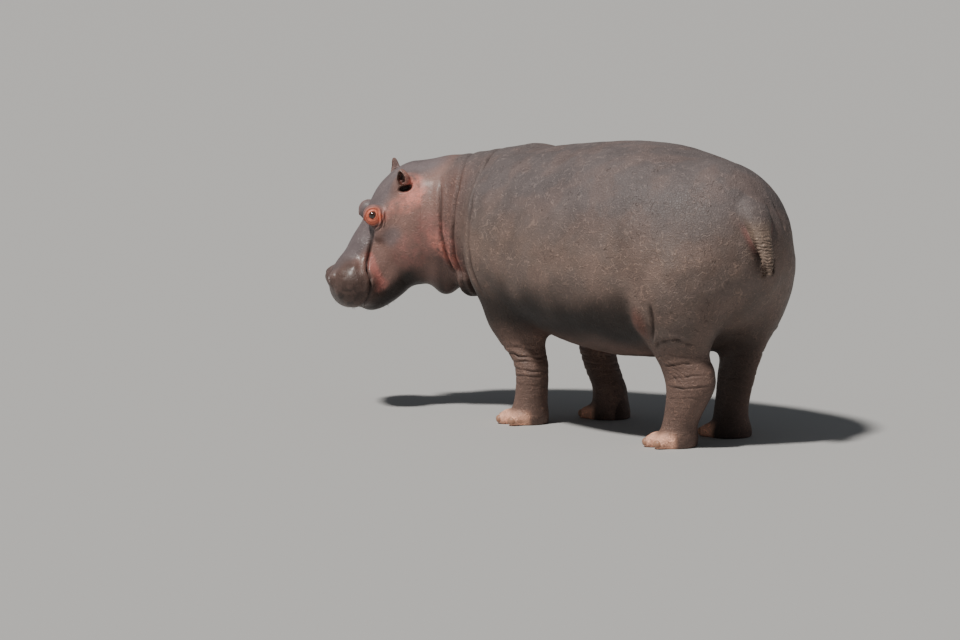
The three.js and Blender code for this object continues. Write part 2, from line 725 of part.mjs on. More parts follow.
let head = bodySolid([-1960, -1090, 380], [-1060, 160, 1480], [55, 55, 55]);
head = head.intersect(ahead(headCut.at, headCut.normal, cut));
for (const side of [1, -1]) {
  head = head.add(headPiece(eyeMound, side, 12, 8, 1));
  head = head.subtract(headPiece(eyeball, side, 10, 7, 0.7));
  head = head.subtract(headPiece(nostril, side, 6, 4)).subtract(headPiece(earPit, side, 8, 5));
  head = head.subtract(earCup(side, earHull));
}
add("head", head.subtract(jawSpace(cut)), faceHide);
add("jaw", head.intersect(jawSpace(0)), faceHide);
for (const [name, side] of [["left", 1], ["right", -1]]) {
  add("ear_" + name, earCup(side, earProfile), earHide);
  add("eye_" + name, headPiece(eyeball, side, 10, 7), eyeGlaze);
}

// ---- legs, feet and nails -----------------------------------------------------------------------

for (const leg of legs) {
  const block = bodySolid([leg.x - 340, leg.y - 300, -90], [leg.x + 480, leg.y + 300, 860], [62, 62, 70]);
  add("leg_" + leg.name, block.intersect(legCell(leg, 0)).intersect(aboveHeight(ankle + cut)), hide);

  let foot = bodySolid([leg.x - 230, leg.y - 230, -66], [leg.x + 230, leg.y + 230, 160], [44, 44, 38]);
  foot = foot.intersect(belowHeight(ankle)).intersect(aboveHeight(0));
  toeWays.forEach((way, i) => {
    const form = toeForm(leg, way, nail);
    foot = foot.subtract(solidOf(ellipsoidGeometry(form, 6, 4, 0.8)));
    add(`nail_${leg.name}_${i + 1}`, solidOf(ellipsoidGeometry(form, 6, 4)), horn);
  });
  add("foot_" + leg.name, foot, hide);
}

const box = new THREE.Box3().setFromObject(hippopotamus);
hippopotamus.position.set(-(box.min.x + box.max.x) / 2, -(box.min.y + box.max.y) / 2, -box.min.z);

export default hippopotamus;
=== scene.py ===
from math import copysign, cos, pi, radians, sin

import bmesh
import bpy
import numpy as np
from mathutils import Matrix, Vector, noise


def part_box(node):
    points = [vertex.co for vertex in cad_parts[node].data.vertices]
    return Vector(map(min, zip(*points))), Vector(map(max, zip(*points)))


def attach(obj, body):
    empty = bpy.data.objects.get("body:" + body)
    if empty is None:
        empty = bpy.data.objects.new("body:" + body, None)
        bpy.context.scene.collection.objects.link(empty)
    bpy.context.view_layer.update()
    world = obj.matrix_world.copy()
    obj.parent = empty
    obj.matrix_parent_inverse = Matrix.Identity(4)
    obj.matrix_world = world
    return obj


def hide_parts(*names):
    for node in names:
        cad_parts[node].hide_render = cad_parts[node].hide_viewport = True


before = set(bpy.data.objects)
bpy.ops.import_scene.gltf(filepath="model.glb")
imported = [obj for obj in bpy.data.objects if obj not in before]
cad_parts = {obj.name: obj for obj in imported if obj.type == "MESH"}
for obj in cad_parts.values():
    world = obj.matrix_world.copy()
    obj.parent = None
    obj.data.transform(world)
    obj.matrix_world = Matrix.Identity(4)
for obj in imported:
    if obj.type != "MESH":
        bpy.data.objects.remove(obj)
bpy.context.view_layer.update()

# The body's shape is worked out in millimetres, with the middle of the trunk near x 0 and the floor
# at z 0, and is moved to the frame at the end. She faces -x, and her left side is towards -y.

head = {
    "turn": 55,  # degrees to her left
    "dip": 45,  # degrees below level
    "centre": (-1392, -345, 995),
    # places and half sizes: along the muzzle, to her left, up through the forehead
    "forms": [
        {"at": (-70, 0, 24), "radii": (225, 178, 166), "blend": 1},  # skull
        {"at": (-140, 0, -110), "radii": (175, 205, 195), "blend": 90},  # back of the jaw
        {"at": (215, 0, 10), "radii": (275, 112, 96), "tip": -14, "blend": 60},  # bridge of the nose
        {"at": (420, 0, -46), "radii": (118, 196, 98), "tip": -30, "blend": 60},  # muzzle
        {"at": (458, 0, -86), "radii": (84, 170, 84), "tip": -8, "blend": 50},  # upper lip
        {"at": (224, 0, -194), "radii": (240, 142, 100), "tip": -2, "blend": 60},  # lower jaw
        {"at": (368, 0, -188), "radii": (92, 138, 60), "tip": -4, "blend": 40},  # chin
        {"at": (20, 112, -120), "radii": (190, 118, 168), "both": True, "blend": 70},  # cheek
        {"at": (40, 122, 46), "radii": (130, 56, 60), "tip": -8, "both": True, "blend": 50},  # cheekbone
        {"at": (410, 122, -76), "radii": (104, 92, 104), "tip": -14, "both": True, "blend": 50},  # tusk
        {"at": (464, 84, 12), "radii": (46, 40, 42), "tip": -20, "both": True, "blend": 34},  # nostril
        {"at": (262, 74, -96), "radii": (92, 62, 96), "both": True, "blend": 70},  # corner of the lips
        {"at": (98, 134, 118), "radii": (54, 46, 55), "both": True, "blend": 30},  # eye mound
        {"at": (-118, 132, 124), "radii": (58, 44, 50), "both": True, "blend": 40},  # ear mound
    ],
}
eye = {
    "at": (100, 156, 124),
    "radius": 24,
    "gaze": (0.26, 0.94, 0.2),
    "opening": (25, 19, 18),  # half length, half height above and below
    "openingShape": 1.8,  # 2 would be an oval; less is more pointed at its corners
}
ear = {
    "at": (-139, 176, 147),
    "radii": (34, 27, 46),  # across the cup, along its axis, up to its tip
    "swing": 28,
    "lift": 34,
    "lean": 40,  # how far the tip leans back
    "hollow": (26, 30, 1.36),  # half width and depth of the cup, and its height for its width
    "point": (6, 34),  # how far the tip of the left and the right ear is drawn out
    "blend": 16,
    "pit": (-113, 190, 106),  # the hollow at the ear's foot
    "pitRadii": (50, 36, 24),
    "pitTip": 23,
    "pitDepth": 26,
}


def unit(v):
    return np.asarray(v, float) / np.linalg.norm(v)


turn, dip = radians(head["turn"]), radians(head["dip"])
headForward = np.array(
    (-cos(turn) * cos(dip), -sin(turn) * cos(dip), -sin(dip))
)
headLeft = np.array((sin(turn), -cos(turn), 0))
headAxes = np.array((headForward, headLeft, np.cross(headForward, headLeft)))


def toHead(p):
    return (p - np.array(head["centre"])) @ headAxes.T


def fromHead(h):
    return np.asarray(h, float) @ headAxes + np.array(head["centre"])


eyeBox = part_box("eye_left")
frameShift = np.array((eyeBox[0] + eyeBox[1]) / 2) * 1000 - fromHead(eye["at"])


def toFrame(p):
    return (np.asarray(p, float) + frameShift) / 1000


def fromFrame(p):
    return np.asarray(p, float) * 1000 - frameShift


def mirrored(p):  # folded onto the side where the second coordinate is positive
    return np.column_stack((p[:, 0], np.abs(p[:, 1]), p[:, 2]))


def joined(a, b, k):  # the smaller of two distances, rounded within k where they meet
    h = np.maximum(k - np.abs(a - b), 0) / k
    return np.minimum(a, b) - h * h * k / 4


def rowLengths(v):
    return np.linalg.norm(v, axis=1)


def fade(v, near, far):  # 1 up to near, 0 from far on
    t = np.clip((far - v) / (far - near), 0, 1)
    return t * t * (3 - 2 * t)


def bell(v, width):
    return np.exp(-((v / width) ** 2))


def curveOf(rows, column):  # a smooth curve through one column of a table, flat beyond its ends
    at = np.array([row[0] for row in rows], float)
    value = np.array([row[column] for row in rows], float)
    i = np.arange(len(at))
    before, after = np.maximum(i - 1, 0), np.minimum(i + 1, len(at) - 1)
    slope = (value[after] - value[before]) / (at[after] - at[before])
    grid = np.linspace(at[0], at[-1], 1200)
    i = np.clip(np.searchsorted(at, grid, side="right") - 1, 0, len(at) - 2)
    width, rise = at[i + 1] - at[i], value[i + 1] - value[i]
    t = (grid - at[i]) / width
    bend = t * (1 - t) * ((1 - t) * (slope[i] * width - rise) + t * (rise - slope[i + 1] * width))
    table = value[i] + rise * t + bend
    return lambda x: np.interp(x, grid, table)


def asDistance(value, step=2):  # turns a value that is 1 on a surface into about the distance from it
    def away(p):
        here = value(p)
        slopes = [(value(p + step * way) - here) / step for way in np.eye(3)]
        return (here - 1) / np.maximum(np.sqrt(sum(s * s for s in slopes)), 1e-4)

    return away


def turnedAxes(form):  # turn swings a form about the third axis, then tip raises the first
    turn, tip = radians(form.get("turn", 0)), radians(form.get("tip", 0))
    ct, st, cp, sp = cos(turn), sin(turn), cos(tip), sin(tip)
    return np.array(((cp * ct, cp * st, sp), (-st, ct, 0), (-sp * ct, -sp * st, cp)))


def ellipsoid(form, axes=None):
    axes = turnedAxes(form) if axes is None else axes
    at, radii = np.array(form["at"], float), np.array(form["radii"], float)

    def away(p):
        p = mirrored(p) if form.get("both") else p
        q = (p - at) @ axes.T / radii
        k0, k1 = rowLengths(q), rowLengths(q / radii)
        return k0 * (k0 - 1) / np.maximum(k1, 1e-9)

    return away


def joinedForms(forms, start=None):
    aways = [(ellipsoid(form), form["blend"]) for form in forms]

    def away(p):
        d = np.full(len(p), 1e3) if start is None else start(p)
        for part, blend in aways:
            d = joined(d, part(p), blend)
        return d

    return away


trunk = {
    # x, top and bottom of the middle line, half the width, height of the greatest width
    "stations": [
        (-945, 1332, 600, 430, 930),
        (-730, 1362, 520, 480, 900),
        (-430, 1406, 446, 522, 860),
        (-50, 1444, 388, 560, 840),
        (200, 1442, 392, 552, 850),
        (500, 1398, 436, 506, 880),
        (760, 1390, 528, 440, 915),
        (936, 1382, 588, 412, 930),
    ],
    "squareness": 2.25,
    "chest": (-660, -945, 2.6),  # rounds off from, to, how squarely
    "rump": (350, 936, 2.4),
    "forms": [
        {"at": (575, 0, 1080), "radii": (295, 290, 298), "blend": 60},  # croup
        {"at": (-620, 225, 900), "radii": (180, 245, 320), "both": True, "blend": 60},  # shoulder
        {"at": (550, 230, 810), "radii": (215, 220, 310), "both": True, "blend": 60},  # haunch
    ],
}


def trunkShape():
    top, bottom, half, widest = (curveOf(trunk["stations"], column) for column in (1, 2, 3, 4))
    (chestFrom, chestTo, chestPower), (rumpFrom, rumpTo, rumpPower) = trunk["chest"], trunk["rump"]
    n = trunk["squareness"]

    def barrel(p):
        x, y, z = p.T
        middle = widest(x)
        height = np.where(z > middle, top(x) - middle, middle - bottom(x))
        ring = (np.abs(y / half(x)) ** n + np.abs((z - middle) / height) ** n) ** (1 / n)
        front = np.maximum(0, (chestFrom - x) / (chestFrom - chestTo))
        rear = np.maximum(0, (x - rumpFrom) / (rumpTo - rumpFrom))
        power = np.where(front > 0, chestPower, rumpPower)
        return (ring**power + (front + rear) ** power) ** (1 / power)

    return joinedForms(trunk["forms"], asDistance(barrel))


neck = {
    "bend": ((-760, 0, 965), (-1110, 0, 962), (-1330, -262, 945)),  # a quadratic Bezier
    "steps": 8,
    "root": (400, 418, 345),  # half width, height above and below the middle line
    "end": (252, 312, 305),
    "endRounding": 180,
    "rolls": [
        {"at": (-1212, -190, 775), "radii": (102, 166, 186), "turn": 42, "blend": 40},
        {"at": (-1046, -118, 698), "radii": (74, 190, 110), "turn": 22, "blend": 30},
        {"at": (-1215, -150, 1172), "radii": (150, 140, 118), "turn": 42, "blend": 50},  # nape
    ],
}


def neckPlace(p):  # how far along the neck's middle line each point is, and the line's point and way
    a, b, c = (np.array(v, float) for v in neck["bend"])

    def pointAt(t):
        return (1 - t) ** 2 * a + 2 * t * (1 - t) * b + t * t * c

    def wayAt(t):
        return 2 * (1 - t) * (b - a) + 2 * t * (c - b)

    line = pointAt(np.linspace(0, 1, neck["steps"] + 1)[:, None])
    best, at = np.full(len(p), np.inf), np.zeros(len(p))
    for i in range(neck["steps"]):
        way = line[i + 1] - line[i]
        s = np.clip((p - line[i]) @ way / (way @ way), 0, 1)
        away = np.sum((p - line[i] - s[:, None] * way) ** 2, axis=1)
        near = away < best
        best[near], at[near] = away[near], (i + s[near]) / neck["steps"]
    t = at[:, None]
    for _ in range(3):  # from the chords onto the curve itself
        off, way = pointAt(t) - p, wayAt(t)
        slope = np.sum(way * way + off * 2 * (a - 2 * b + c), axis=1)
        t = np.clip(t - (np.sum(off * way, axis=1) / np.maximum(slope, 1e4))[:, None], 0, 1)
    way = wayAt(t)
    return t[:, 0], pointAt(t), way / rowLengths(way)[:, None]


def toNeckLeft(off, way):  # how far to her left of the neck's middle line
    return (off[:, 1] * way[:, 0] - off[:, 0] * way[:, 1]) / np.hypot(way[:, 0], way[:, 1])


def neckShape():
    root, end = np.array(neck["root"], float), np.array(neck["end"], float)

    def away(p):
        at, middle, way = neckPlace(p)
        off = p - middle
        side, up, down = root[:, None] * (1 - at) + end[:, None] * at
        high = off[:, 2] / np.where(off[:, 2] > 0, up, down)
        ends = np.sum(off * way, axis=1) / neck["endRounding"]
        r = np.sqrt((toNeckLeft(off, way) / side) ** 2 + high**2 + ends**2)
        tube = rowLengths(off) * (1 - 1 / np.maximum(r, 1e-3))
        for roll in neck["rolls"]:
            tube = joined(tube, ellipsoid(roll)(p), roll["blend"])
        return tube

    return away


def earAxes():  # across the cup, out through its mouth, up to its tip, for the left ear
    swing, lift = radians(ear["swing"]), radians(ear["lift"])
    out = unit((sin(swing), cos(swing) * cos(lift), cos(swing) * sin(lift)))
    across = unit(np.array((1, 0, 0)) - out * out[0])
    tip, lean = -np.cross(out, across), radians(ear["lean"])
    c, s = cos(lean), sin(lean)
    return np.array((c * across + s * tip, out, c * tip - s * across))


def headShape():
    forms = joinedForms(head["forms"])
    cup = ellipsoid(ear, earAxes())

    def away(p):
        h = toHead(p)
        return joined(forms(h), cup(mirrored(h)), ear["blend"])

    return away


# height, half length and half width of a leg's sections, which turn with its foot
frontSections = [
    (0, 100, 108), (40, 98, 106), (100, 86, 93), (160, 81, 89), (280, 83, 92),
    (337, 90, 95), (400, 114, 105), (500, 150, 130), (640, 165, 150), (900, 190, 160),
]
hindSections = [
    (0, 104, 110), (40, 102, 107), (107, 90, 86), (194, 100, 80), (288, 123, 77),
    (379, 137, 78), (461, 143, 94), (530, 165, 122), (640, 205, 155), (900, 240, 170),
]
# where each leg stands and turns out, and how far its middle lies behind and outside the foot's
legs = {
    "front_left": {
        "foldReach": (0, 200), "sections": frontSections, "at": (-533, -235), "turn": 24, "toeTurn": 40,
        "course": [(0, 0, 0), (160, 25, 0), (300, 20, 0), (400, -32, 6), (500, -55, 25), (900, -100, 50)],
    },
    "front_right": {
        "foldReach": (0, 200), "sections": frontSections, "at": (-390, 190), "turn": 10, "toeTurn": 14,
        "course": [
            (0, 0, 0), (150, 0, 0), (230, -42, 0), (320, -90, 5), (500, -165, 45), (900, -230, 75)
        ],
    },
    "hind_left": {
        "foldReach": (40, 70), "sections": hindSections, "at": (547, -235), "turn": 24, "toeTurn": 36,
        "course": [
            (0, 0, 0), (107, 29, 0), (194, 65, 0), (300, 102, 0), (380, 92, 5), (470, 58, 20),
            (900, 70, 60),
        ],
    },
    "hind_right": {
        "foldReach": (40, 70), "sections": hindSections, "at": (476, 200), "turn": 12, "toeTurn": 16,
        "course": [
            (0, 0, 0), (150, 14, 0), (250, 30, 0), (340, 52, 0), (460, 86, 5), (640, 105, 4),
            (900, 145, 25),
        ],
    },
}
legTop = (760, 1040)  # where a leg rounds off inside the trunk
toe = {"ways": (-62, -21, 21, 62), "reach": 106, "side": 12, "radii": (62, 40, 38), "lift": 27}
nail = {"ways": toe["ways"], "reach": 151, "side": 12, "radii": (21, 25, 21), "lift": 25}


def legShape(leg):
    length, width = curveOf(leg["sections"], 1), curveOf(leg["sections"], 2)
    back, out = curveOf(leg["course"], 1), curveOf(leg["course"], 2)
    x0, y0 = leg["at"]
    side = copysign(1, y0)
    c, s = cos(radians(leg["turn"])), sin(radians(leg["turn"])) * side

    def value(p):
        x, y, z = p.T
        dx, dy = x - x0 - back(z), y - y0 - out(z) * side
        top = np.maximum(0, (z - legTop[0]) / (legTop[1] - legTop[0]))
        return np.sqrt(
            ((dx * c - dy * s) / length(z)) ** 2 + ((dx * s + dy * c) / width(z)) ** 2 + top**2
        )

    return asDistance(value)


def digitForms(leg, digit):  # a foot's toes or nails, as ellipsoids that point out from its middle
    forms = []
    for way in digit["ways"]:
        angle = 180 - (way + leg["toeTurn"] * copysign(1, leg["at"][1]))
        reach = digit["reach"] - digit["side"] * abs(sin(radians(way)))
        x = leg["at"][0] + cos(radians(angle)) * reach
        y = leg["at"][1] + sin(radians(angle)) * reach
        forms.append(
            {"at": (x, y, digit["lift"]), "radii": digit["radii"], "turn": angle, "tip": -8, "blend": 16}
        )
    return forms


tail = {
    # height, how far back, half thickness, half width, how far over to her left
    "stations": [
        (820, 992, 15, 18, 64), (866, 992, 19, 23, 52), (918, 988, 24, 33, 47), (972, 976, 30, 42, 45),
        (1043, 950, 38, 52, 48), (1131, 905, 50, 76, 40), (1240, 830, 62, 92, 20),
    ],
    "tip": (866, 812),
    "root": (1150, 1240),
}


def tailShape():
    back, thick, wide, over = (curveOf(tail["stations"], column) for column in (1, 2, 3, 4))
    (tipFrom, tip), (rootFrom, root) = tail["tip"], tail["root"]

    def value(p):
        x, y, z = p.T
        end = np.maximum(0, np.maximum((tipFrom - z) / (tipFrom - tip), (z - rootFrom) / (root - rootFrom)))
        return np.sqrt(((x - back(z)) / thick(z)) ** 2 + ((y + over(z)) / wide(z)) ** 2 + end**2)

    return asDistance(value)


blends = {"neck": 60, "head": 60, "tail": 24, "leg": 80, "foot": 26, "sole": 10}
trunkAway, neckAway, headAway, tailAway = trunkShape(), neckShape(), headShape(), tailShape()
legAways = {name: legShape(leg) for name, leg in legs.items()}
footAways = {name: joinedForms(digitForms(leg, toe)) for name, leg in legs.items()}


def bodyAway(p):
    x, z = p[:, 0], p[:, 2]
    d = np.full(len(p), 1e3)

    def join(where, away, blend):
        if where.any():
            d[where] = joined(d[where], away(p[where]), blend)

    join(x > -1250, trunkAway, 1)
    join(x < -450, neckAway, blends["neck"])
    join(x < -900, headAway, blends["head"])
    join(x > 600, tailAway, blends["tail"])
    for name, leg in legs.items():
        near = (np.abs(x - leg["at"][0]) <= 600) & (z < 1100)
        join(near, legAways[name], blends["leg"])
        join(near & (z < 220), footAways[name], blends["foot"])
    low = z < 100
    d[low] = -joined(-d[low], z[low], blends["sole"])
    return d


def settled(p, rounds=2, step=0.5, most=24):  # points moved along the shape's slope onto its surface
    for _ in range(rounds):
        here = bodyAway(p)
        slope = np.column_stack([(bodyAway(p + step * way) - here) / step for way in np.eye(3)])
        move = np.clip(here / np.maximum(np.sum(slope * slope, axis=1), 0.25), -most, most)
        p = p - slope * move[:, None]
    return p, slope / rowLengths(slope)[:, None]


def valuesOf(items, key, wide, kind=float):  # a row for each vertex, edge or corner
    values = np.empty(len(items) * wide, kind)
    items.foreach_get(key, values)
    return values.reshape(-1, wide)


def pointsOf(mesh):
    return valuesOf(mesh.vertices, "co", 3)


def movePoints(mesh, p):
    mesh.vertices.foreach_set("co", toFrame(p).ravel())


def giveValues(mesh, name, values):
    mesh.attributes.new(name, "FLOAT", "POINT").data.foreach_set("value", values.astype(np.float32))


def edgesOf(mesh):
    return valuesOf(mesh.edges, "vertices", 2, int)


def relaxed(p, normals, edges, strength=0.6):  # evens out the points without moving the surface
    a, b = edges.T
    count = np.bincount(a, minlength=len(p)) + np.bincount(b, minlength=len(p))
    total = np.column_stack(
        [np.bincount(a, p[b, i], len(p)) + np.bincount(b, p[a, i], len(p)) for i in range(3)]
    )
    move = total / count[:, None] - p
    move -= normals * np.sum(move * normals, axis=1)[:, None]
    return p + move * strength


def newObject(name, data):
    made = bpy.data.objects.new(name, data)
    bpy.context.scene.collection.objects.link(made)
    return made


def meshOf(bm, name):
    mesh = bpy.data.meshes.new(name)
    bm.to_mesh(mesh)
    bm.free()
    return mesh


skin = {"voxel": 0.0075, "relaxings": 2}  # metres, and rounds after splitting
fleshNodes = [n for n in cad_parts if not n.startswith(("eye_", "nail_"))]

# All the solids together, remeshed as one closed surface.
bm = bmesh.new()
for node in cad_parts.values():
    bm.from_mesh(node.data)
lump = newObject("lump", meshOf(bm, "rough"))
remesh = lump.modifiers.new("remesh", "REMESH")
remesh.mode = "VOXEL"
remesh.voxel_size = skin["voxel"]
skinMesh = bpy.data.meshes.new_from_object(lump.evaluated_get(bpy.context.evaluated_depsgraph_get()))
bpy.data.objects.remove(lump)
skinMesh.name = "skin"
print("remeshed", len(skinMesh.polygons))


def lineAway(q, line):  # distance from a line through points, the share of its length, and the side
    line = np.array(line, float)
    spans = rowLengths(np.diff(line, axis=0))
    best, along, side = np.full(len(q), np.inf), np.zeros(len(q)), np.ones(len(q))
    start = 0
    for a, b, length in zip(line, line[1:], spans):
        way = (b - a) / length
        s = np.clip((q - a) @ way, 0, length)
        away = rowLengths(q - a - s[:, None] * way)
        near = away < best
        best[near], along[near] = away[near], (start + s[near]) / spans.sum()
        if line.shape[1] == 2:
            off = q[near] - a
            side[near] = np.sign(way[0] * off[:, 1] - way[1] * off[:, 0])
        start += length
    return best, along, side


def tableOf(rows, x):
    return np.interp(x, [row[0] for row in rows], [row[1] for row in rows])


def noiseOf(p, size):
    return np.array([noise.noise(v) for v in (np.asarray(p) / size)])


def finer(mesh, where):  # splits the edges in a region in two
    bm = bmesh.new()
    bm.from_mesh(mesh)
    bm.edges.ensure_lookup_table()
    chosen = where(fromFrame(pointsOf(mesh)))[edgesOf(mesh)].all(axis=1)
    bmesh.ops.subdivide_edges(
        bm, edges=[edge for edge, pick in zip(bm.edges, chosen) if pick], cuts=1, use_grid_fill=True
    )
    bm.to_mesh(mesh)
    bm.free()


def mirroredHead(p):  # the head's own frame, with her right side folded onto her left
    return mirrored(toHead(p))


def onHead(p):
    forward, left, up = mirroredHead(p).T
    return (forward > -190) & (left < 330) & (np.abs(up) < 400) & (p[:, 0] < -1080)


detailSpots = [  # head places that carry the finest shapes, and how far round them
    (eye["at"], 62), (ear["at"], 64), (ear["pit"], 56), ((472, 88, 48), 46),
]


def onDetail(p):
    h = mirroredHead(p)
    near = np.zeros(len(p), bool)
    for at, reach in detailSpots:
        near |= rowLengths(h - at) < reach
    beside = lineAway(h[:, [0, 2]], crease["line"])[0] < 26
    return near | (beside & (h[:, 1] < 260) & onHead(p))


def onFinest(p):
    h = mirroredHead(p)
    return (rowLengths(h - eye["at"]) < 46) | (rowLengths(h - ear["at"]) < 54)


finerBoxes = [  # least and greatest x, y and z of the places, besides the head, that are split once
    ((-780, -900, -10), (-180, 900, 560)),  # front legs
    ((300, -900, -10), (900, 900, 560)),  # hind legs
    ((870, -100, -10), (1400, 100, 1180)),  # tail
    ((-1180, -900, 600), (-640, 0, 1500)),  # left side of the neck
]


def onFolds(p):
    return onHead(p) | np.any([((p > low) & (p < high)).all(axis=1) for low, high in finerBoxes], axis=0)


# The crease that runs down from under the eye, behind the muzzle, and on as the line of the mouth:
# forward and up in the head's frame.
crease = {
    "line": [
        (150, 76), (183, 44), (213, 20), (244, 2), (273, -15), (292, -27), (320, -55), (338, -95),
        (371, -126), (408, -153), (450, -168), (520, -176), (600, -178),
    ],
    "depth": [(0, 5), (0.12, 9), (0.25, 14), (0.4, 17), (0.5, 13), (0.65, 10), (1, 9)],
    "width": 7.5,
    "lip": 7,  # how far the muzzle bulges before it
    "lipAway": (20, 15),  # its distance from the crease, and its width
    "lipShare": (0.36, 0.16, 0.34),  # its middle along the line, and where it starts and ends to fade
}
neckFolds = [
    # the line as heights and places along the neck, and how deep the fold is at each height
    {
        "line": [(620, 405), (711, 425), (749, 463), (843, 507), (931, 527), (1048, 530), (1193, 537),
                 (1330, 550)],
        "depth": [(560, 0), (640, 8), (760, 11), (1000, 10), (1080, 7), (1160, 3), (1230, 0)],
        "width": 14,
    },
    {
        "line": [(620, 352), (702, 368), (804, 408), (905, 400), (977, 378), (1102, 372), (1161, 360),
                 (1289, 380), (1360, 400)],
        "depth": [(560, 0), (640, 9), (760, 11), (950, 9), (1030, 6), (1160, 6), (1250, 5), (1340, 4)],
        "width": 15,
    },
    {
        "line": [(620, -125), (681, -110), (775, -75), (895, -51), (1090, -28), (1195, 61), (1262, 122),
                 (1325, 186), (1380, 230)],
        "depth": [(640, 0), (720, 12), (800, 10), (900, 5), (1100, 5), (1250, 9), (1340, 7)],
        "width": 18,
    },
]
neckFoldField = {
    "length": 690,
    "wander": (5, 70),  # how much a fold strays, and over what size
    "rightShare": 0.3,  # how deep the folds are on her right side
    "left": (-40, 160),
    "top": (1290, 1420),
}
legFolds = {  # height, depth, width, slope towards the rear, and how far its ends hang down
    "hind": [
        (540, 7.5, 8, 0.12, 22), (412, 6.5, 6, 0.15, -2), (304, 4.5, 5, 0.07, -4), (475, 3, 6, -0.2, 6),
        (352, 2.5, 5, 0.16, 4), (250, 2, 6, 0.05, 4),
    ],
    "front": [
        (392, 3, 8, 0.08, 8), (355, 5, 6, -0.08, 5), (320, 4, 5, 0.07, 5), (283, 4.5, 5, -0.05, 4),
        (246, 3.5, 5, 0.05, 4), (206, 2, 6, -0.04, 4),
    ],
}
legFoldField = {
    "wander": (8, 55),  # how much a fold strays, and over what size
    "broken": (0.75, 0.9, 38),  # its mean depth, how much that varies, and over what size
    "ends": 50,  # how softly it ends
    "inside": 0.25,  # how deep it is on the inside of the leg
    "hangReach": 75,
}
legWrinkles = {"at": {"hind": (0, 385), "front": (-20, 330)}, "reach": 80, "depth": 3.4, "apart": 22}


def grooved(away, width, roll=0.5):  # a groove with a soft roll on both sides
    return -bell(away, width) + roll * bell(away - 2.4 * width, 1.5 * width)


def neckLift(p):
    at, middle, way = neckPlace(p)
    off = p - middle
    field = neckFoldField
    along = at * field["length"] + np.sum(off * way, axis=1) * ((at <= 0) | (at >= 1))
    around = field["rightShare"] + (1 - field["rightShare"]) * fade(-toNeckLeft(off, way), *field["left"])
    wander = field["wander"][0] * noiseOf(p, field["wander"][1])
    lift = np.zeros(len(p))
    for fold in neckFolds:
        away = np.abs(along + wander - tableOf(fold["line"], p[:, 2]))
        lift += tableOf(fold["depth"], p[:, 2]) * around * grooved(away, fold["width"])
    return lift * fade(p[:, 2], *field["top"])


def legLift(p, name):
    leg = legs[name]
    side = copysign(1, leg["at"][1])
    folds = legFolds[name.split("_")[0]]
    back = curveOf(leg["course"], 1)(p[:, 2])
    dx, dy, z = p[:, 0] - leg["at"][0] - back, (p[:, 1] - leg["at"][1]) * side, p[:, 2]
    field, (middle, half) = legFoldField, leg["foldReach"]
    (stray, straySize), (mean, much, brokenSize) = field["wander"], field["broken"]
    wander, broken = stray * noiseOf(p, straySize), mean + much * noiseOf(p, brokenSize)
    span = fade(np.abs(dx - middle), half, half + field["ends"])
    outside = fade(dx * 0.8 - dy, 0, 130)
    around = (field["inside"] + (1 - field["inside"]) * outside) * span * broken
    bow = ((dx - middle) / field["hangReach"]) ** 2
    lift = sum(
        depth * around * grooved(z - at - slope * dx + hang * bow + wander, width)
        for at, depth, width, slope, hang in folds
    )
    x0, z0 = legWrinkles["at"][name.split("_")[0]]
    patch = fade(np.hypot(dx - x0, z - z0) / legWrinkles["reach"], 0.4, 1) * (dy > -20)
    wave = np.sin(2 * pi * (0.5 * dx + 0.86 * z + 1.6 * wander) / legWrinkles["apart"])
    return lift - legWrinkles["depth"] * patch * broken * np.maximum(0, wave) ** 2


flap = {  # the fold of skin between belly and thigh: its lobe, and the groove behind it
    "lobe": (520, 618), "radius": 46, "below": 50, "above": 110, "lift": 24,
    "groove": [(622, 770), (606, 700), (602, 640), (586, 592), (560, 540)], "width": 9, "depth": 14,
    "share": (0.6, 0.2, 0.45),  # the groove's middle along its line, and where it starts and ends to fade
    "side": (-330, -270),  # how far out from the middle both start
}
buttock = {
    "line": [(120, 1205), (134, 1150), (150, 1100), (164, 1040)], "depth": 9, "width": 9,
    "share": (0.45, 0.2, 0.55),
}
tailRidges = {"top": (990, 1110), "apart": 15, "height": 2.2, "wander": (9, 26), "broken": (0.9, 1.4, 20)}
unevenness = [(120, 2.6), (46, 1.3)]


def tailNear(p, near=3, far=10):  # 1 on the tail, 0 from far away from it on
    on = np.zeros(len(p))
    behind = (p[:, 0] > 860) & (np.abs(p[:, 1]) < 220) & (p[:, 2] > 700)
    on[behind] = fade(tailAway(p[behind]), near, far)
    return on


def lineGroove(q, look, line):  # how deep the groove along a line is
    away, along = lineAway(q, line)[:2]
    middle, near, far = look["share"]
    return look["depth"] * bell(away, look["width"]) * fade(np.abs(along - middle), near, far)


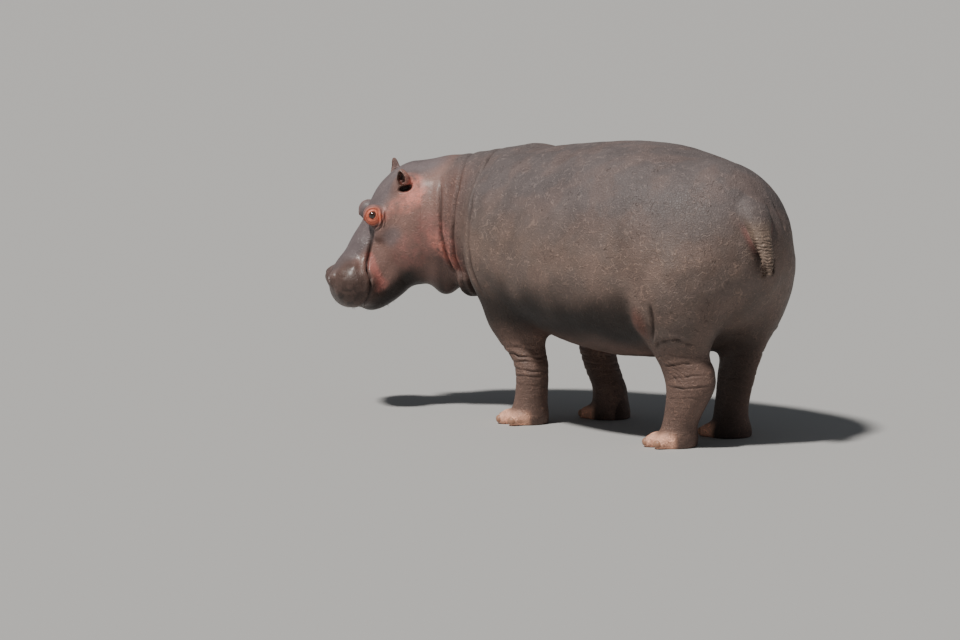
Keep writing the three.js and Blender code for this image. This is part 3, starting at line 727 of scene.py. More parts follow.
def bodyLift(p):
    x, y, z = p.T
    lift = np.zeros(len(p))
    neckward = (x < -560) & (z > 560)
    lift[neckward] += neckLift(p[neckward])
    for name, leg in legs.items():
        near = (np.abs(x - leg["at"][0] - 40) < 240) & (y * leg["at"][1] > 0) & (z < 620)
        lift[near] += legLift(p[near], name)
    x0, z0 = flap["lobe"]
    high = np.where(z > z0, flap["above"], flap["below"])
    lobe = flap["lift"] * bell(np.hypot((x - x0) / flap["radius"], (z - z0) / high), 1)
    lift += (lobe - lineGroove(p[:, [0, 2]], flap, flap["groove"])) * fade(-np.abs(y), *flap["side"])
    lift -= lineGroove(p[:, 1:], buttock, buttock["line"]) * (x > 760)
    on = tailNear(p) * fade(z, *tailRidges["top"])
    (stray, straySize), (mean, much, brokenSize) = tailRidges["wander"], tailRidges["broken"]
    wave = (z + stray * noiseOf(p, straySize)) / tailRidges["apart"]
    broken = np.clip(mean + much * noiseOf(p, brokenSize), 0, much)
    lift += tailRidges["height"] * on * broken * np.sin(2 * pi * wave)
    calm = 1 - 0.6 * onHead(p)
    for size, much in unevenness:
        lift += much * noiseOf(p, size) * calm
    return lift * fade(-z, -30, 0)


def headLift(p):
    h = mirroredHead(p)
    away, along, side = lineAway(h[:, [0, 2]], crease["line"])
    groove = tableOf(crease["depth"], along) * bell(away, crease["width"])
    (lipAt, lipWidth), (middle, near, far) = crease["lipAway"], crease["lipShare"]
    lip = crease["lip"] * (side > 0) * bell(away - lipAt, lipWidth) * fade(np.abs(along - middle), near, far)
    lift = (lip - groove) * fade(-h[:, 1], -70, -20)
    slit = lineAway(h[:, :2], nostril["slit"])[0]
    rimAt, rimWidth = nostril["rimAway"]
    rim = nostril["rim"] * bell(slit - rimAt, rimWidth)
    lift += (h[:, 2] > 0) * (rim - nostril["depth"] * bell(slit, nostril["width"]))
    for at, radius, height in muzzleBumps:
        lift += height * bell(rowLengths(h - at), radius)
    return lift + muzzleRidge["height"] * bell(lineAway(h, muzzleRidge["line"])[0], muzzleRidge["width"])


muzzleBumps = [  # place, radius and height
    ((470, 106, 44), 22, 7), ((424, 150, 28), 22, 6), ((440, 188, -6), 18, 5), ((448, 128, 36), 12, -4),
    ((500, 150, -40), 26, 4), ((470, 190, -70), 26, 3), ((392, 196, -60), 24, 3),
]
muzzleRidge = {"line": [(232, 84, 56), (300, 120, 40), (356, 168, 4)], "width": 16, "height": 5}
nostril = {"slit": [(450, 74), (470, 84), (492, 102)], "depth": 17, "width": 6, "rim": 3, "rimAway": (13, 7)}
lids = {
    "inside": 2.5,  # how far the skin tucks in under the front of the ball
    "thick": 3.6,
    # how far from the opening, width, how far out, and whether it goes all round
    "rings": [(12, 3, -4, 1), (19, 4, 4, 0.5), (27, 3.4, -5.5, 0.3), (34, 4, 4, 0), (42, 3.6, -4.5, 0)],
    "droop": 0.5,  # how far the rings are drawn down towards the crease
}


def eyeAxes():
    gaze = unit(eye["gaze"])
    along = unit(np.array((1, 0, 0)) - gaze * gaze[0])
    return np.array((along, gaze, np.cross(along, gaze)))


def lidded(h, normals):  # lids over the ball and the rings of skin round them
    q = (h - eye["at"]) @ eyeAxes().T
    a, out, b = q.T
    length, above, below = eye["opening"]
    flat, n = np.hypot(a, b), eye["openingShape"]
    size = ((np.abs(a) / length) ** n + (np.abs(b) / np.where(b > 0, above, below)) ** n) ** (1 / n)
    edge = flat - flat / np.maximum(size, 1e-3)
    edge = np.where(size < 1e-3, -below, edge)
    near = (rowLengths(q) < 80) & (out > -10)
    under = fade(b - 0.5 * a, -22, 8)
    hang = lids["droop"] * np.maximum(0, 0.72 * a - 0.69 * b)
    lift = sum(
        much * (top + (1 - top) * under) * bell(edge - hang - at, width)
        for at, width, much, top in lids["rings"]
    )
    h = h + normals * (lift * near * (edge > 6))[:, None]
    radius = eye["radius"]
    target = radius - lids["inside"] + (lids["inside"] + lids["thick"]) * fade(-edge, -3.4, -0.4)
    reach = rowLengths(q)
    on = near * fade(edge, 4, 13)
    pulled = np.array(eye["at"]) + (h - eye["at"]) * (target / np.maximum(reach, 1))[:, None]
    return h + (pulled - h) * on[:, None], edge, near


def hollowed(h, side):  # the cup of the ear and the pit at its foot
    q = (h - ear["at"]) @ earAxes().T
    across, out, tip = q.T
    radius, depth, tall = ear["hollow"]
    ring = np.hypot(across, tip / tall) / radius
    dip = depth * (1 - np.minimum(ring, 1) ** 5) * (out > -12) * (ring < 1)
    c, s = cos(radians(ear["pitTip"])), sin(radians(ear["pitTip"]))
    f, left, u = (h - ear["pit"]).T
    pit = rowLengths(np.column_stack((c * f + s * u, left, c * u - s * f)) / ear["pitRadii"])
    inward = -ear["pitDepth"] * fade(pit, 0.3, 1.05)
    h = h - earAxes()[1] * dip[:, None] + np.array((0, 1, 0)) * inward[:, None]
    high = fade(-tip, -44, -4) * fade(np.abs(out), 22, 40) * (np.abs(across) < 50)
    drawn = np.where(side > 0, *ear["point"])
    h = h + earAxes()[2] * (drawn * high * fade(np.abs(across), 0, 27))[:, None]
    h = h - earAxes()[0] * (across * high * drawn / 60)[:, None]
    # The last value marks the middle of the pit at the ear's foot, which gets painted shadow.
    return h, dip / depth, fade(pit, 0.45, 1.0)


def shaped(p, normals):
    lift = bodyLift(p)
    near = onHead(p)
    lift[near] += headLift(p[near])
    p = p + normals * lift[:, None]
    h = toHead(p)
    side = np.sign(h[:, 1])
    flip = np.column_stack((np.ones(len(p)), side, np.ones(len(p))))
    folded, bent = h * flip, normals @ headAxes.T * flip
    # How far each point is sunk by the lift; it paints shade into creases and calms the grain.
    masks = {"creased": np.clip(-lift / 9, 0, 1)}
    masks["lidEdge"], masks["cup"], masks["pit"] = np.full(len(p), 99.0), np.zeros(len(p)), np.zeros(len(p))
    shapedHead, edge, close = lidded(folded[near], bent[near])
    masks["lidEdge"][near] = np.where(close, edge, 99)
    shapedHead, masks["cup"][near], masks["pit"][near] = hollowed(shapedHead, side[near])
    folded[near] = shapedHead
    p = p.copy()
    p[near] = fromHead(folded[near] * flip[near])
    return p, masks


p, normals = settled(fromFrame(pointsOf(skinMesh)))
p, normals = settled(relaxed(p, normals, edgesOf(skinMesh)), 1)
movePoints(skinMesh, p)
print("settled")
for where in (onFolds, onDetail, onFinest):
    finer(skinMesh, where)
print("finer", len(skinMesh.polygons))
p = fromFrame(pointsOf(skinMesh))
edges = edgesOf(skinMesh)
p, normals = settled(p, 1)
for _ in range(skin["relaxings"]):
    p, normals = settled(relaxed(p, normals, edges), 1)
restPoints = p
p, masks = shaped(p, normals)
print("shaped")
movePoints(skinMesh, p)
for name, values in masks.items():
    giveValues(skinMesh, name, values)
skinMesh.shade_smooth()
skinPiece = newObject("skin", skinMesh)
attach(skinPiece, "root")
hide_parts(*fleshNodes)
print("skin", len(skinMesh.vertices))


def colour(red, green, blue):  # from the 0 to 255 of a colour picker
    linear = []
    for value in (red, green, blue):
        value /= 255
        linear.append(value / 12.92 if value <= 0.04045 else ((value + 0.055) / 1.055) ** 2.4)
    return (*linear, 1)


def zone(p, at, radii, soft=0.4):  # 1 in the middle of an ellipsoid, 0 outside it
    return fade(rowLengths((p - np.array(at, float)) / radii), soft, 1)


# Some of these colours are painted shade: low and belly darken the underside, dark goes into creases and
# hollows, ring into the grooves round the eye, and chin also under the jaw.
hideColours = {
    "back": (101, 92, 91), "flank": (118, 101, 93), "low": (52, 42, 37), "belly": (30, 24, 22),
    "warm": (134, 108, 98), "cool": (98, 94, 95), "flap": (104, 74, 66), "neck": (110, 86, 80),
    "leg": (112, 90, 81), "toe": (228, 174, 148), "tail": (134, 116, 104), "cheek": (134, 104, 96),
    "forehead": (112, 101, 102), "muzzle": (84, 66, 60), "chin": (38, 28, 24), "pink": (208, 132, 118),
    "rosy": (158, 110, 103), "lip": (178, 116, 108), "lid": (226, 124, 98), "ring": (92, 44, 34),
    "cup": (96, 48, 38), "dark": (28, 15, 12),
}
hideTones = {name: np.array(colour(*rgb)[:3]) for name, rgb in hideColours.items()}
# The low, belly and inside heights bound painted shade on the underside.
tintTops = {  # the heights from which and by which a tint of the lower body is gone
    "flank": (900, 1250), "low": (610, 830), "belly": (540, 690), "leg": (380, 560), "inside": (470, 640),
    "toe": (45, 100),
}
faceForms = {  # colour, strength, place and radii in the head's frame, and where it starts to fade
    "brow": [
        ("forehead", 1, (250, 60, 60), (230, 90, 90), 0.5),
        ("forehead", 0.7, (110, 190, -20), (90, 80, 70), 0.3),
    ],
    "cheek": [
        ("rosy", 0.8, (90, 220, -140), (160, 110, 120), 0.4),
        ("rosy", 1, (-60, 290, -190), (110, 110, 230), 0.4),
        ("pink", 0.75, (-30, 295, -250), (50, 90, 160), 0.4),
        ("pink", 1.2, (-100, 190, 40), (125, 80, 85), 0.3),
        ("pink", 1, (-170, 190, 110), (75, 70, 75), 0.3),
        ("pink", 0.5, (20, 160, 80), (110, 60, 45), 0.4),
    ],
    "mouth": [("lip", 0.8, (322, 160, -160), (60, 90, 40), 0.4)],
}
lipLine = [(262, -18), (290, -72), (308, -120), (322, -150)]  # bare flesh along the crease


def hideTint(p, masks):  # the colour of the hide before its fine marks, from a few colours and places
    # Besides the hide's own colours, this paints shade on the underside, under the jaw, in creases, beside
    # the tail, round the eye and in the ear.
    tint = np.tile(hideTones["back"], (len(p), 1))

    def lay(name, mask):
        tint[:] += (hideTones[name] - tint) * np.clip(mask, 0, 1)[:, None]

    def below(name, waver):
        return fade(z + waver * wander, *tintTops[name])

    def layForms(part, mask):
        for name, strength, at, radii, soft in faceForms[part]:
            lay(name, strength * mask * zone(h, at, radii, soft))

    x, y, z = p.T
    h = mirroredHead(p)
    wander, patchy = noiseOf(p, 160), 0.62 + 0.8 * noiseOf(p, 34) + 0.5 * noiseOf(p, 13)
    broad = noiseOf(p, 150) + 0.5 * noiseOf(p, 60)
    lay("flank", below("flank", 60))
    lay("warm", 0.16 * fade(-broad, -0.4, 0.1))
    lay("cool", 0.16 * fade(broad, -0.4, 0.1))
    # Painted shade: the lower flank is darkened below where the key light stops, and less on the lit hind
    # thigh.
    lay("low", below("low", 60) * (1 - 0.75 * fade(-x, -560, -430)))
    # Mostly painted shade under the body between the legs, with some real darkness of the wet belly.
    lay("belly", below("belly", 40) * fade(np.abs(x), 430, 510))
    lay("leg", below("leg", 30) * fade(-np.abs(y), -150, -40))
    # Painted shade under the middle of the body, between the hind legs.
    lay("belly", 0.7 * below("inside", 40) * (x > -300) * fade(np.abs(y), 130, 240))
    lay("neck", fade(x, -1000, -860) * fade(z, 1180, 1330) * fade(-z, -760, -620))
    lay("flap", zone(np.column_stack((x, z)), flap["lobe"], (66, 110), 0.3) * (y < -300))
    beside = (tailNear(p, 14, 44) - tailNear(p, 3, 12)) * fade(z, 1060, 1130)
    # Painted shade in the crease beside the lower half of the tail, where it hangs off the rump.
    lay("dark", 0.75 * beside * fade(z, 960, 1080))
    lay("rosy", 0.6 * beside * fade(-z, -1040, -940))
    lay("tail", tailNear(p, 4, 12) * fade(z, 1060, 1150))
    face = fade(x + 0.4 * y, -1270, -1190)
    lay("cheek", face)
    lay("forehead", face * fade(-h[:, 2], -90, 10) * fade(h[:, 1], 110, 190))
    layForms("brow", face)
    lay("muzzle", face * fade(-h[:, 0], -380, -300) * fade(h[:, 2], 20, 90))
    spots = fade(-noiseOf(p, 24), -0.2, 0.1)
    lay("chin", 0.7 * face * spots * zone(h, (470, 130, -70), (120, 160, 90)))
    # Painted shade: the chin colour darkens the underside of the lower jaw and the angle of the jaw.
    lay("chin", face * fade(h[:, 2], -225, -150) * fade(-h[:, 0], -200, -60))
    lay("chin", 0.85 * face * fade(h[:, 2] + 0.9 * h[:, 0], -290, -200) * fade(-h[:, 0], -10, 40))
    layForms("cheek", patchy)
    flesh = lineAway(h[:, [0, 2]], lipLine)[0]
    lay("lip", (0.5 + patchy) * fade(flesh + 14 * wander, 4, 34) * (h[:, 1] < 250) * (h[:, 1] > 60))
    layForms("mouth", patchy)
    ball = rowLengths(h - eye["at"])
    lay("rosy", 0.7 * fade(ball, 44, 66) * (h[:, 1] > 90))
    edge = masks["lidEdge"]
    under = fade(h[:, 2] - 124 - 0.6 * (h[:, 0] - 100), -20, 10)
    lay("lid", fade(edge - 14 * under, 12, 24))
    # Painted shade: the ring colour darkens the grooves round the eye.
    rings = bell(edge - 12, 3) + (0.4 + 0.6 * under) * bell(edge - 28, 4)
    lay("ring", 0.55 * patchy * rings + 0.8 * under * bell(edge - 43, 4))
    # Painted shade along the lid edge next to the opening, as under the upper lid.
    lay("dark", fade(edge, -0.5, 3))
    lay("cup", fade(-masks["cup"], -0.5, -0.1))
    # Painted shade at the bottom of the ear's cup.
    lay("dark", fade(-masks["cup"], -1.0, -0.8))
    # Painted shadow in the pit at the ear's foot, where the ear's shadow falls.
    lay("dark", masks["pit"])
    # Painted shade in creases and grooves, by how deep they are sunk.
    lay("dark", 0.6 * masks["creased"])
    for leg in legs.values():
        dx, dy = (np.column_stack((x, y)) - leg["at"]).T
        reach, angle = np.hypot(dx, dy), radians(leg["toeTurn"])
        ahead = -dx * cos(angle) + dy * sin(angle) * copysign(1, leg["at"][1])
        lay("toe", below("toe", 20) * fade(-reach, -118, -76) * fade(-ahead, 0, 40) * (reach < 250))
    return tint


def feed(tree, node, inputs):  # links other nodes' sockets to a node's own, and sets plain values
    for key, value in inputs.items():
        if isinstance(value, bpy.types.NodeSocket):
            tree.links.new(value, node.inputs[key])
        else:
            node.inputs[key].default_value = value
    return node


def addNode(tree, kind, inputs=None, **settings):
    made = tree.nodes.new(kind)
    for key, value in settings.items():
        setattr(made, key, value)
    return feed(tree, made, inputs or {})


def maths(tree, operation, a, b=0.5):
    return addNode(tree, "ShaderNodeMath", {0: a, 1: b}, operation=operation).outputs[0]


def times(tree, a, b):
    return maths(tree, "MULTIPLY", a, b)


def vectorMaths(tree, operation, a, key, b):
    return addNode(tree, "ShaderNodeVectorMath", {0: a, key: b}, operation=operation).outputs[0]


def distance(tree, a, b):  # of a point (a, b) from the origin
    return maths(tree, "SQRT", maths(tree, "ADD", times(tree, a, a), times(tree, b, b)))


def objectPlace(tree):
    return addNode(tree, "ShaderNodeTexCoord").outputs["Object"]


def ranged(tree, value, low, high, toLow=0, toHigh=1):
    made = addNode(
        tree, "ShaderNodeMapRange",
        {"Value": value, "From Min": low, "From Max": high, "To Min": toLow, "To Max": toHigh},
    )
    return made.outputs["Result"]


def mixed(tree, factor, a, b, blend="MIX"):
    inputs = {"Factor": factor, 6: a, 7: b}  # the colour sockets share their names with others
    return addNode(tree, "ShaderNodeMix", inputs, data_type="RGBA", blend_type=blend).outputs[2]


def noised(tree, place, scale, detail=3, rough=0.55):
    inputs = {"Vector": place, "Scale": scale, "Detail": detail, "Roughness": rough}
    return addNode(tree, "ShaderNodeTexNoise", inputs).outputs["Fac"]


grainLook = {
    # shift, scale, width of the line, and the noise over which it comes in
    "longScuff": ((0, 0, 0), 23, 0.035, 0.48, 0.58),
    "shortScuff": ((5, 2, 1), 34, 0.035, 0.5, 0.6),
    "crack": ((3, 1, 7), 31, 0.03, 0.5, 0.6),
    "patches": (7, 0.4, 0.6),  # where cracks lie: scale, and the noise over which they come in
    "mottle": (6, 6, 0.62),  # scale, detail, roughness
    "bend": (14, 0.03),  # scale, and how far it bends the lines
    "cells": (75, 0.14, 0.35),  # scale, width of the line, strength
    "speck": (80, 0.55, 0.75, 0.5),  # scale, the noise over which it comes in, strength
    "pores": (55, 0.7),  # scale, height
    "scuffHeight": 0.55,
    "crackDepth": 0.8,
}


def hideGrainGroup():  # mottling, pale scuffs and fine cracks of bare hide
    group = bpy.data.node_groups.new("hideGrain", "ShaderNodeTree")
    group.interface.new_socket("Place", in_out="INPUT", socket_type="NodeSocketVector")
    size = group.interface.new_socket("Size", in_out="INPUT", socket_type="NodeSocketFloat")
    size.default_value = 1.0
    for name in ("Mottle", "Scuff", "Crack", "Height"):
        group.interface.new_socket(name, in_out="OUTPUT", socket_type="NodeSocketFloat")
    given = group.nodes.new("NodeGroupInput").outputs
    out = group.nodes.new("NodeGroupOutput").inputs
    place = vectorMaths(group, "SCALE", given["Place"], "Scale", given["Size"])
    scale, far = grainLook["bend"]
    bend = addNode(group, "ShaderNodeTexNoise", {"Vector": place, "Scale": scale, "Detail": 2})
    bent = vectorMaths(group, "SUBTRACT", bend.outputs["Color"], 1, (0.5, 0.5, 0.5))
    bent = vectorMaths(group, "ADD", vectorMaths(group, "SCALE", bent, "Scale", far), 1, place)

    def strokes(shift, scale, width, low, high):  # short curved strokes, where noise crosses its middle
        moved = vectorMaths(group, "ADD", bent, 1, shift)
        line = maths(group, "SUBTRACT", noised(group, moved, scale, 1, 0.4), 0.5)
        line = ranged(group, maths(group, "ABSOLUTE", line), width * 0.3, width, 1, 0)
        return times(group, line, ranged(group, noised(group, moved, scale * 1.3, 1), low, high))

    scale, low, high = grainLook["patches"]
    patches = ranged(group, noised(group, place, scale, 2), low, high)
    scale, width, strength = grainLook["cells"]
    cells = addNode(group, "ShaderNodeTexVoronoi", {"Vector": bent, "Scale": scale},
                    feature="DISTANCE_TO_EDGE").outputs["Distance"]
    cells = times(group, ranged(group, cells, 0, width, 1, 0), strength)
    crack = maths(group, "MAXIMUM", times(group, strokes(*grainLook["crack"]), patches), cells)
    scale, low, high, strength = grainLook["speck"]
    speck = times(group, ranged(group, noised(group, place, scale, 2), low, high), strength)
    lines = maths(group, "MAXIMUM", strokes(*grainLook["longScuff"]), strokes(*grainLook["shortScuff"]))
    scuff = maths(group, "MAXIMUM", lines, speck)
    scale, high = grainLook["pores"]
    raised = times(group, scuff, grainLook["scuffHeight"])
    sunk = times(group, crack, grainLook["crackDepth"])
    pores = times(group, noised(group, place, scale, 3), high)
    height = maths(group, "ADD", maths(group, "SUBTRACT", raised, sunk), pores)
    mottle = noised(group, place, *grainLook["mottle"])
    for name, socket in (("Mottle", mottle), ("Scuff", scuff), ("Crack", crack), ("Height", height)):
        group.links.new(socket, out[name])
    return group


hideGrain = hideGrainGroup()


def attributeOf(tree, name, socket="Fac"):
    return addNode(tree, "ShaderNodeAttribute", attribute_name=name).outputs[socket]


def grainIn(tree, size=1.0):
    inputs = {"Place": objectPlace(tree), "Size": size}
    return addNode(tree, "ShaderNodeGroup", inputs, node_tree=hideGrain).outputs


def bumped(tree, height, strength, depth):
    inputs = {"Height": height, "Strength": strength, "Distance": depth}
    return addNode(tree, "ShaderNodeBump", inputs).outputs["Normal"]


def newMaterial(name):
    made = bpy.data.materials.new(name)
    made.use_nodes = True
    return made, made.node_tree, made.node_tree.nodes["Principled BSDF"]


hideLook = {
    # how strong the fine marks are, and by what they multiply the tint under them
    "marks": [("Scuff", 0.85, (1.65, 1.6, 1.55, 1)), ("Crack", 0.6, (0.4, 0.36, 0.34, 1))],
    "mottle": (0.84, 1.18),
    "rough": (0.5, 0.64),
    "wet": 0.2,  # how much smoother the wet face is
    "bump": 0.004,
    "ringBump": 0.006,
}


def hideMaterial():
    made, tree, shader = newMaterial("hide")
    grain = grainIn(tree)
    tint = attributeOf(tree, "tint", "Color")
    calm, ringed, wet = (attributeOf(tree, name) for name in ("calm", "ringed", "wet"))
    busy = maths(tree, "SUBTRACT", 1.0, calm)
    mottle = ranged(tree, grain["Mottle"], 0.3, 0.7, *hideLook["mottle"])
    shade = addNode(tree, "ShaderNodeCombineColor", {0: mottle, 1: mottle, 2: mottle}).outputs[0]
    base = mixed(tree, 1.0, tint, shade, "MULTIPLY")
    for name, strength, change in hideLook["marks"]:
        marked = times(tree, grain[name], times(tree, busy, strength))
        base = mixed(tree, marked, base, mixed(tree, 1.0, tint, change, "MULTIPLY"))
    rough = ranged(tree, grain["Mottle"], 0.3, 0.7, *hideLook["rough"])
    squashed = addNode(tree, "ShaderNodeMapping", {"Vector": objectPlace(tree), "Scale": (0.35, 0.35, 3.2)})
    rings = times(tree, noised(tree, squashed.outputs[0], 17, 4, 0.6), ringed)
    height = times(tree, grain["Height"], ranged(tree, calm, 0, 1, 1, 0.25))
    height = maths(tree, "ADD", height, times(tree, rings, hideLook["ringBump"] / hideLook["bump"]))
    feed(tree, shader, {
        "Base Color": base,
        "Roughness": maths(tree, "SUBTRACT", rough, times(tree, wet, hideLook["wet"])),
        "Coat Weight": times(tree, wet, 0.5),
        "Coat Roughness": 0.3,
        "Specular IOR Level": 0.35,
        "Normal": bumped(tree, height, 0.7, hideLook["bump"]),
    })
    return made


def dressSkin():
    p = restPoints
    h = mirroredHead(p)
    face = fade(p[:, 0] + 0.4 * p[:, 1], -1270, -1150)
    onLeg = fade(p[:, 2], 430, 560) * fade(-np.abs(p[:, 1]), -140, -60)
    scalars = {
        "calm": np.clip(0.5 * face + masks["creased"] * 0.5, 0, 1),
        "ringed": np.clip(onLeg + tailNear(p), 0, 1),
        "wet": np.clip(face * (0.25 + 0.75 * zone(h, (300, 60, 20), (260, 200, 160), 0.3)), 0, 1),
    }
    for name, values in scalars.items():
        giveValues(skinMesh, name, values)
    tint = np.column_stack((hideTint(p, masks), np.ones(len(p))))
    skinMesh.attributes.new("tint", "FLOAT_COLOR", "POINT").data.foreach_set(
        "color", tint.astype(np.float32).ravel()
    )
    skinMesh.materials.append(hideMaterial())
    print("dressed the skin")


dressSkin()

eyeLook = {
    "iris": ((34, 20, 13), (62, 36, 22)),
    "rim": ((60, 36, 30), (92, 58, 48)),  # the white of the eye
    "dark": (8, 6, 6),
    "reach": 0.52,  # of the iris, as a share of the ball's radius
    "pupil": (0.24, 0.12),  # half length and half height of the slit
    "bulge": 1.5,
    "bulgeReach": 0.5,
    "around": 64,
    "along": 40,
}


def eyeMaterial():
    made, tree, shader = newMaterial("eye")
    gaze = [attributeOf(tree, name) for name in ("gazeAlong", "gazeUp")]
    ring = distance(tree, *gaze)
    slit = distance(tree, *(maths(tree, "DIVIDE", v, w) for v, w in zip(gaze, eyeLook["pupil"])))
    grain = noised(tree, objectPlace(tree), 900, 3)
    iris, rim = (mixed(tree, grain, *(colour(*tone) for tone in eyeLook[name])) for name in ("iris", "rim"))
    reach = eyeLook["reach"]
    base = mixed(tree, ranged(tree, ring, reach - 0.05, reach + 0.04), iris, rim)
    base = mixed(tree, ranged(tree, slit, 0.85, 1.1, 1, 0), base, colour(*eyeLook["dark"]))
    rough = ranged(tree, grain, 0.3, 0.7, 0.06, 0.14)
    feed(tree, shader, {"Base Color": base, "Roughness": rough, "Coat Weight": 1, "Coat Roughness": 0.03})
    return made


eyeGlaze = eyeMaterial()
for name, side in (("left", 1), ("right", -1)):
    bm = bmesh.new()
    bmesh.ops.create_uvsphere(bm, u_segments=eyeLook["around"], v_segments=eyeLook["along"], radius=1)
    mesh = meshOf(bm, "eye_" + name)
    ball = pointsOf(mesh)[:, [0, 2, 1]]  # along, out through the pupil, up
    front = bell(np.hypot(ball[:, 0], ball[:, 2]), eyeLook["bulgeReach"]) * (ball[:, 1] > 0)
    local = ball * (eye["radius"] + eyeLook["bulge"] * front)[:, None] @ eyeAxes() + eye["at"]
    local[:, 1] *= side
    movePoints(mesh, fromHead(local))
    if side > 0:
        mesh.flip_normals()
    for attribute, values in (("gazeAlong", ball[:, 0]), ("gazeUp", ball[:, 2])):
        giveValues(mesh, attribute, np.where(ball[:, 1] > 0, values, 2))
    mesh.shade_smooth()
    mesh.materials.append(eyeGlaze)
    piece = newObject("eyeball_" + name, mesh)
    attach(piece, "root")
    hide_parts("eye_" + name)

nailLook = {
    "size": 0.98,  # of the solid it replaces
    "squareness": 2.15,  # 2 would be an ellipsoid
    "narrower": 0.12,  # on top
    "lowest": 2,  # the height below which it is flattened, and how much
    "flatten": 0.3,
    "tones": ((142, 100, 78), (206, 156, 128)),
    "crack": (96, 66, 52),
    "around": 32,
    "along": 20,
}


def nailMaterial():
    made, tree, shader = newMaterial("nail")
    grain = grainIn(tree, 3.0)
    base = mixed(tree, grain["Mottle"], *(colour(*tone) for tone in nailLook["tones"]))
    base = mixed(tree, times(tree, grain["Crack"], 0.4), base, colour(*nailLook["crack"]))
    rough = ranged(tree, grain["Mottle"], 0.3, 0.7, 0.35, 0.5)
    normal = bumped(tree, grain["Height"], 0.5, 0.0015)
    feed(tree, shader, {"Base Color": base, "Roughness": rough, "Normal": normal})
    return made


nailHorn = nailMaterial()
for name, leg in legs.items():
    bm = bmesh.new()
    for form in digitForms(leg, nail):
        sphere = bmesh.ops.create_uvsphere(
            bm, u_segments=nailLook["around"], v_segments=nailLook["along"], radius=1
        )
        axes = turnedAxes(form)
        for vertex in sphere["verts"]:
            q = np.array(vertex.co)
            q = q / np.sum(np.abs(q) ** nailLook["squareness"]) ** (1 / nailLook["squareness"])
            q[1] *= 1 - nailLook["narrower"] * q[2]
            at = (q * form["radii"] * nailLook["size"]) @ axes + form["at"]
            at[2] = max(at[2], nailLook["lowest"] + nailLook["flatten"] * (at[2] - nailLook["lowest"]))
            vertex.co = toFrame(at)
    mesh = meshOf(bm, "nails_" + name)
    mesh.shade_smooth()
    mesh.materials.append(nailHorn)
    piece = newObject("nails_" + name, mesh)
    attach(piece, "root")
    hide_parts(*(f"nail_{name}_{i + 1}" for i in range(len(nail["ways"]))))
print("eyes and nails")

bristles = {
    # how many tufts, hairs in each, shortest and longest, root radius, how far they lean over
    "lipBristles": {"tufts": 150, "hairs": 2, "length": (6, 13), "radius": 0.5, "lean": 0.5},
    "earBristles": {"tufts": 260, "hairs": 3, "length": (7, 15), "radius": 0.45, "lean": 0.6},
    "tailBristles": {"tufts": 220, "hairs": 3, "length": (10, 24), "radius": 0.5, "lean": 1.1},
}


hair = {
    "sides": 3,
    "rings": 4,
    "scatter": 1.2,  # how far the hairs of a tuft stand apart
    "rooted": 1.5,  # how deep they start in the hide
    "spread": 0.22,
    "bend": 0.35,
    "taper": 0.75,
    "bakePatch": 0.003,  # the side of its place in the flat layout
}
unroll = {"front": -1800, "length": 2900, "height": 900}  # the body's box, for laying bristles out flat


def unrolled(p):  # the hide opened out flat round the length of the body
    around = np.arctan2(p[:, 1], p[:, 2] - unroll["height"]) / (2 * pi)
    return np.column_stack(((p[:, 0] - unroll["front"]) / unroll["length"], 0.5 + around))


def bristleMaterial():
    made, tree, shader = newMaterial("bristle")
    tones = noised(tree, objectPlace(tree), 300, 2), colour(38, 28, 24), colour(104, 82, 68)
    feed(tree, shader, {"Base Color": mixed(tree, *tones), "Roughness": 0.45})
    return made


def growBristles(name, weight, lie, seed):
    look = bristles[name]
    pick = np.random.default_rng(seed)
    count = min(look["tufts"], np.count_nonzero(weight))
    chosen = pick.choice(len(skinPoints), count, replace=False, p=weight / weight.sum())
    verts, faces, uvs = [], [], []
    sides, rings, bend = hair["sides"], hair["rings"], hair["bend"]
    for root, normal, way, flat in zip(
        skinPoints[chosen], skinNormals[chosen], lie[chosen], unrolled(skinPoints[chosen])
    ):
        for _ in range(look["hairs"]):
            long = pick.uniform(*look["length"])
            start = root + pick.normal(0, hair["scatter"], 3) - normal * hair["rooted"]
            lean = unit(normal + way * look["lean"] + pick.normal(0, hair["spread"], 3))
            across = unit(np.cross(lean, (0.3, 0.5, 0.8)))  # any way that no bristle takes
            other = np.cross(lean, across)
            first = len(verts)
            for ring in range(rings):
                t = ring / rings
                middle = start + lean * long * t + way * long * bend * t * t
                for corner in range(sides):
                    turn = 2 * pi * corner / sides
                    spoke = across * cos(turn) + other * sin(turn)
                    verts.append(middle + spoke * look["radius"] * (1 - hair["taper"] * t))
            verts.append(start + lean * long + way * long * bend)
            for ring in range(rings - 1):
                for corner in range(sides):
                    a, b = first + ring * sides + corner, first + ring * sides + (corner + 1) % sides
                    faces.append((a, b, b + sides, a + sides))
            last = first + (rings - 1) * sides
            faces += [(last + c, last + (c + 1) % sides, len(verts) - 1) for c in range(sides)]
            faces.append(tuple(first + c for c in reversed(range(sides))))
            spots = (np.array((i % 4, i // 4 % 4)) / 4 for i in range(len(verts) - first))
            uvs += [flat + hair["bakePatch"] * spot for spot in spots]
    mesh = bpy.data.meshes.new(name)
    mesh.from_pydata(toFrame(verts), [], faces)
    layer = mesh.uv_layers.new(name="OFBake")
    corners = valuesOf(mesh.loops, "vertex_index", 1, int)[:, 0]
    layer.data.foreach_set("uv", np.array(uvs)[corners].ravel())
    mesh.shade_smooth()
    mesh.materials.append(bristleHorn)
    piece = newObject(name, mesh)
    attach(piece, "root")


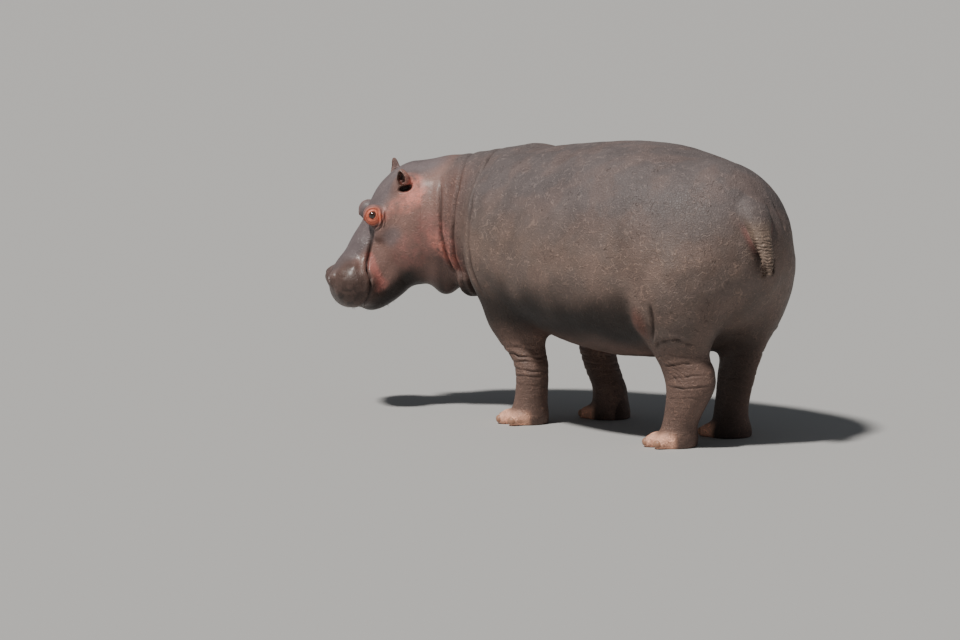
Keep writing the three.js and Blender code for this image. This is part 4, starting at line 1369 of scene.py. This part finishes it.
bristleHorn = bristleMaterial()
skinPoints = fromFrame(pointsOf(skinMesh))
skinNormals = valuesOf(skinMesh.vertices, "normal", 3)
x, y, z = skinPoints.T
forward, left, up = mirroredHead(skinPoints).T
lips = (forward > 330) * fade(up, -60, 40) * (left < 230) * (x < -1200)
rim = bell(masks["cup"] - 0.12, 0.1) * (masks["cup"] > 0.01)
over = y + 52  # the tail hangs this far over to her left
edge = (x > 955) * (np.abs(skinNormals[:, 1]) > 0.6) * (np.abs(over) < 46) * fade(z, 880, 960)
outward = np.column_stack((0 * edge, np.sign(over) * 0.3, -np.ones(len(edge))))
growBristles("lipBristles", lips, np.tile((0, 0, -1.0), (len(skinPoints), 1)), 3)
growBristles("earBristles", rim, np.tile(headAxes[2] * -0.3, (len(skinPoints), 1)), 4)
growBristles("tailBristles", edge, outward, 5)
print("bristles")

studio = {
    "floorSize": 60,
    "floor": (0.46, 0.46, 0.455, 1),
    "sky": {"Color": (0.82, 0.87, 0.93, 1), "Strength": 0.15},
    "sun": {"azimuth": 2, "elevation": 60, "softness": 6, "strength": 4.1, "colour": (1, 0.96, 0.91)},
    "camera": {"azimuth": 47, "elevation": 8.2, "distance": 26, "lens": 195, "aim": (-0.775, 0.545)},
}


def wayTo(spot):  # azimuth 0 is square on to her left side
    azimuth, elevation = radians(spot["azimuth"]), radians(spot["elevation"])
    level = cos(elevation)
    return Vector((sin(azimuth) * level, -cos(azimuth) * level, sin(elevation)))


def layFloor():
    bm = bmesh.new()
    bmesh.ops.create_grid(bm, x_segments=1, y_segments=1, size=studio["floorSize"])
    floor = newObject("floor", meshOf(bm, "floor"))
    made, tree, shader = newMaterial("paleFloor")
    feed(tree, shader, {"Base Color": studio["floor"], "Roughness": 0.85})
    floor.data.materials.append(made)


def lightSky():
    world = bpy.data.worlds.new("studio")
    world.use_nodes = True
    feed(world.node_tree, world.node_tree.nodes["Background"], studio["sky"])
    bpy.context.scene.world = world


def hangSun():
    look, way = studio["sun"], wayTo(studio["sun"])
    lamp = bpy.data.lights.new("key", "SUN")
    lamp.energy, lamp.angle, lamp.color = look["strength"], radians(look["softness"]), look["colour"]
    made = newObject("key", lamp)
    made.location = way * 9
    made.rotation_euler = (-way).to_track_quat("-Z", "Y").to_euler()


def placeCamera():
    look, back = studio["camera"], wayTo(studio["camera"])
    azimuth = radians(look["azimuth"])
    right = Vector((cos(azimuth), sin(azimuth), 0))
    start = Vector(toFrame((0, 0, 0)))
    aim = start + right * look["aim"][0] + back.cross(right) * look["aim"][1]
    camera = newObject("camera", bpy.data.cameras.new("camera"))
    camera.data.lens, camera.data.sensor_width, camera.data.clip_end = look["lens"], 36, 200
    camera.location = start + back * look["distance"]
    camera.rotation_euler = (aim - camera.location).to_track_quat("-Z", "Y").to_euler()
    bpy.context.scene.camera = camera


layFloor()
lightSky()
hangSun()
placeCamera()
print("floor, light and camera")
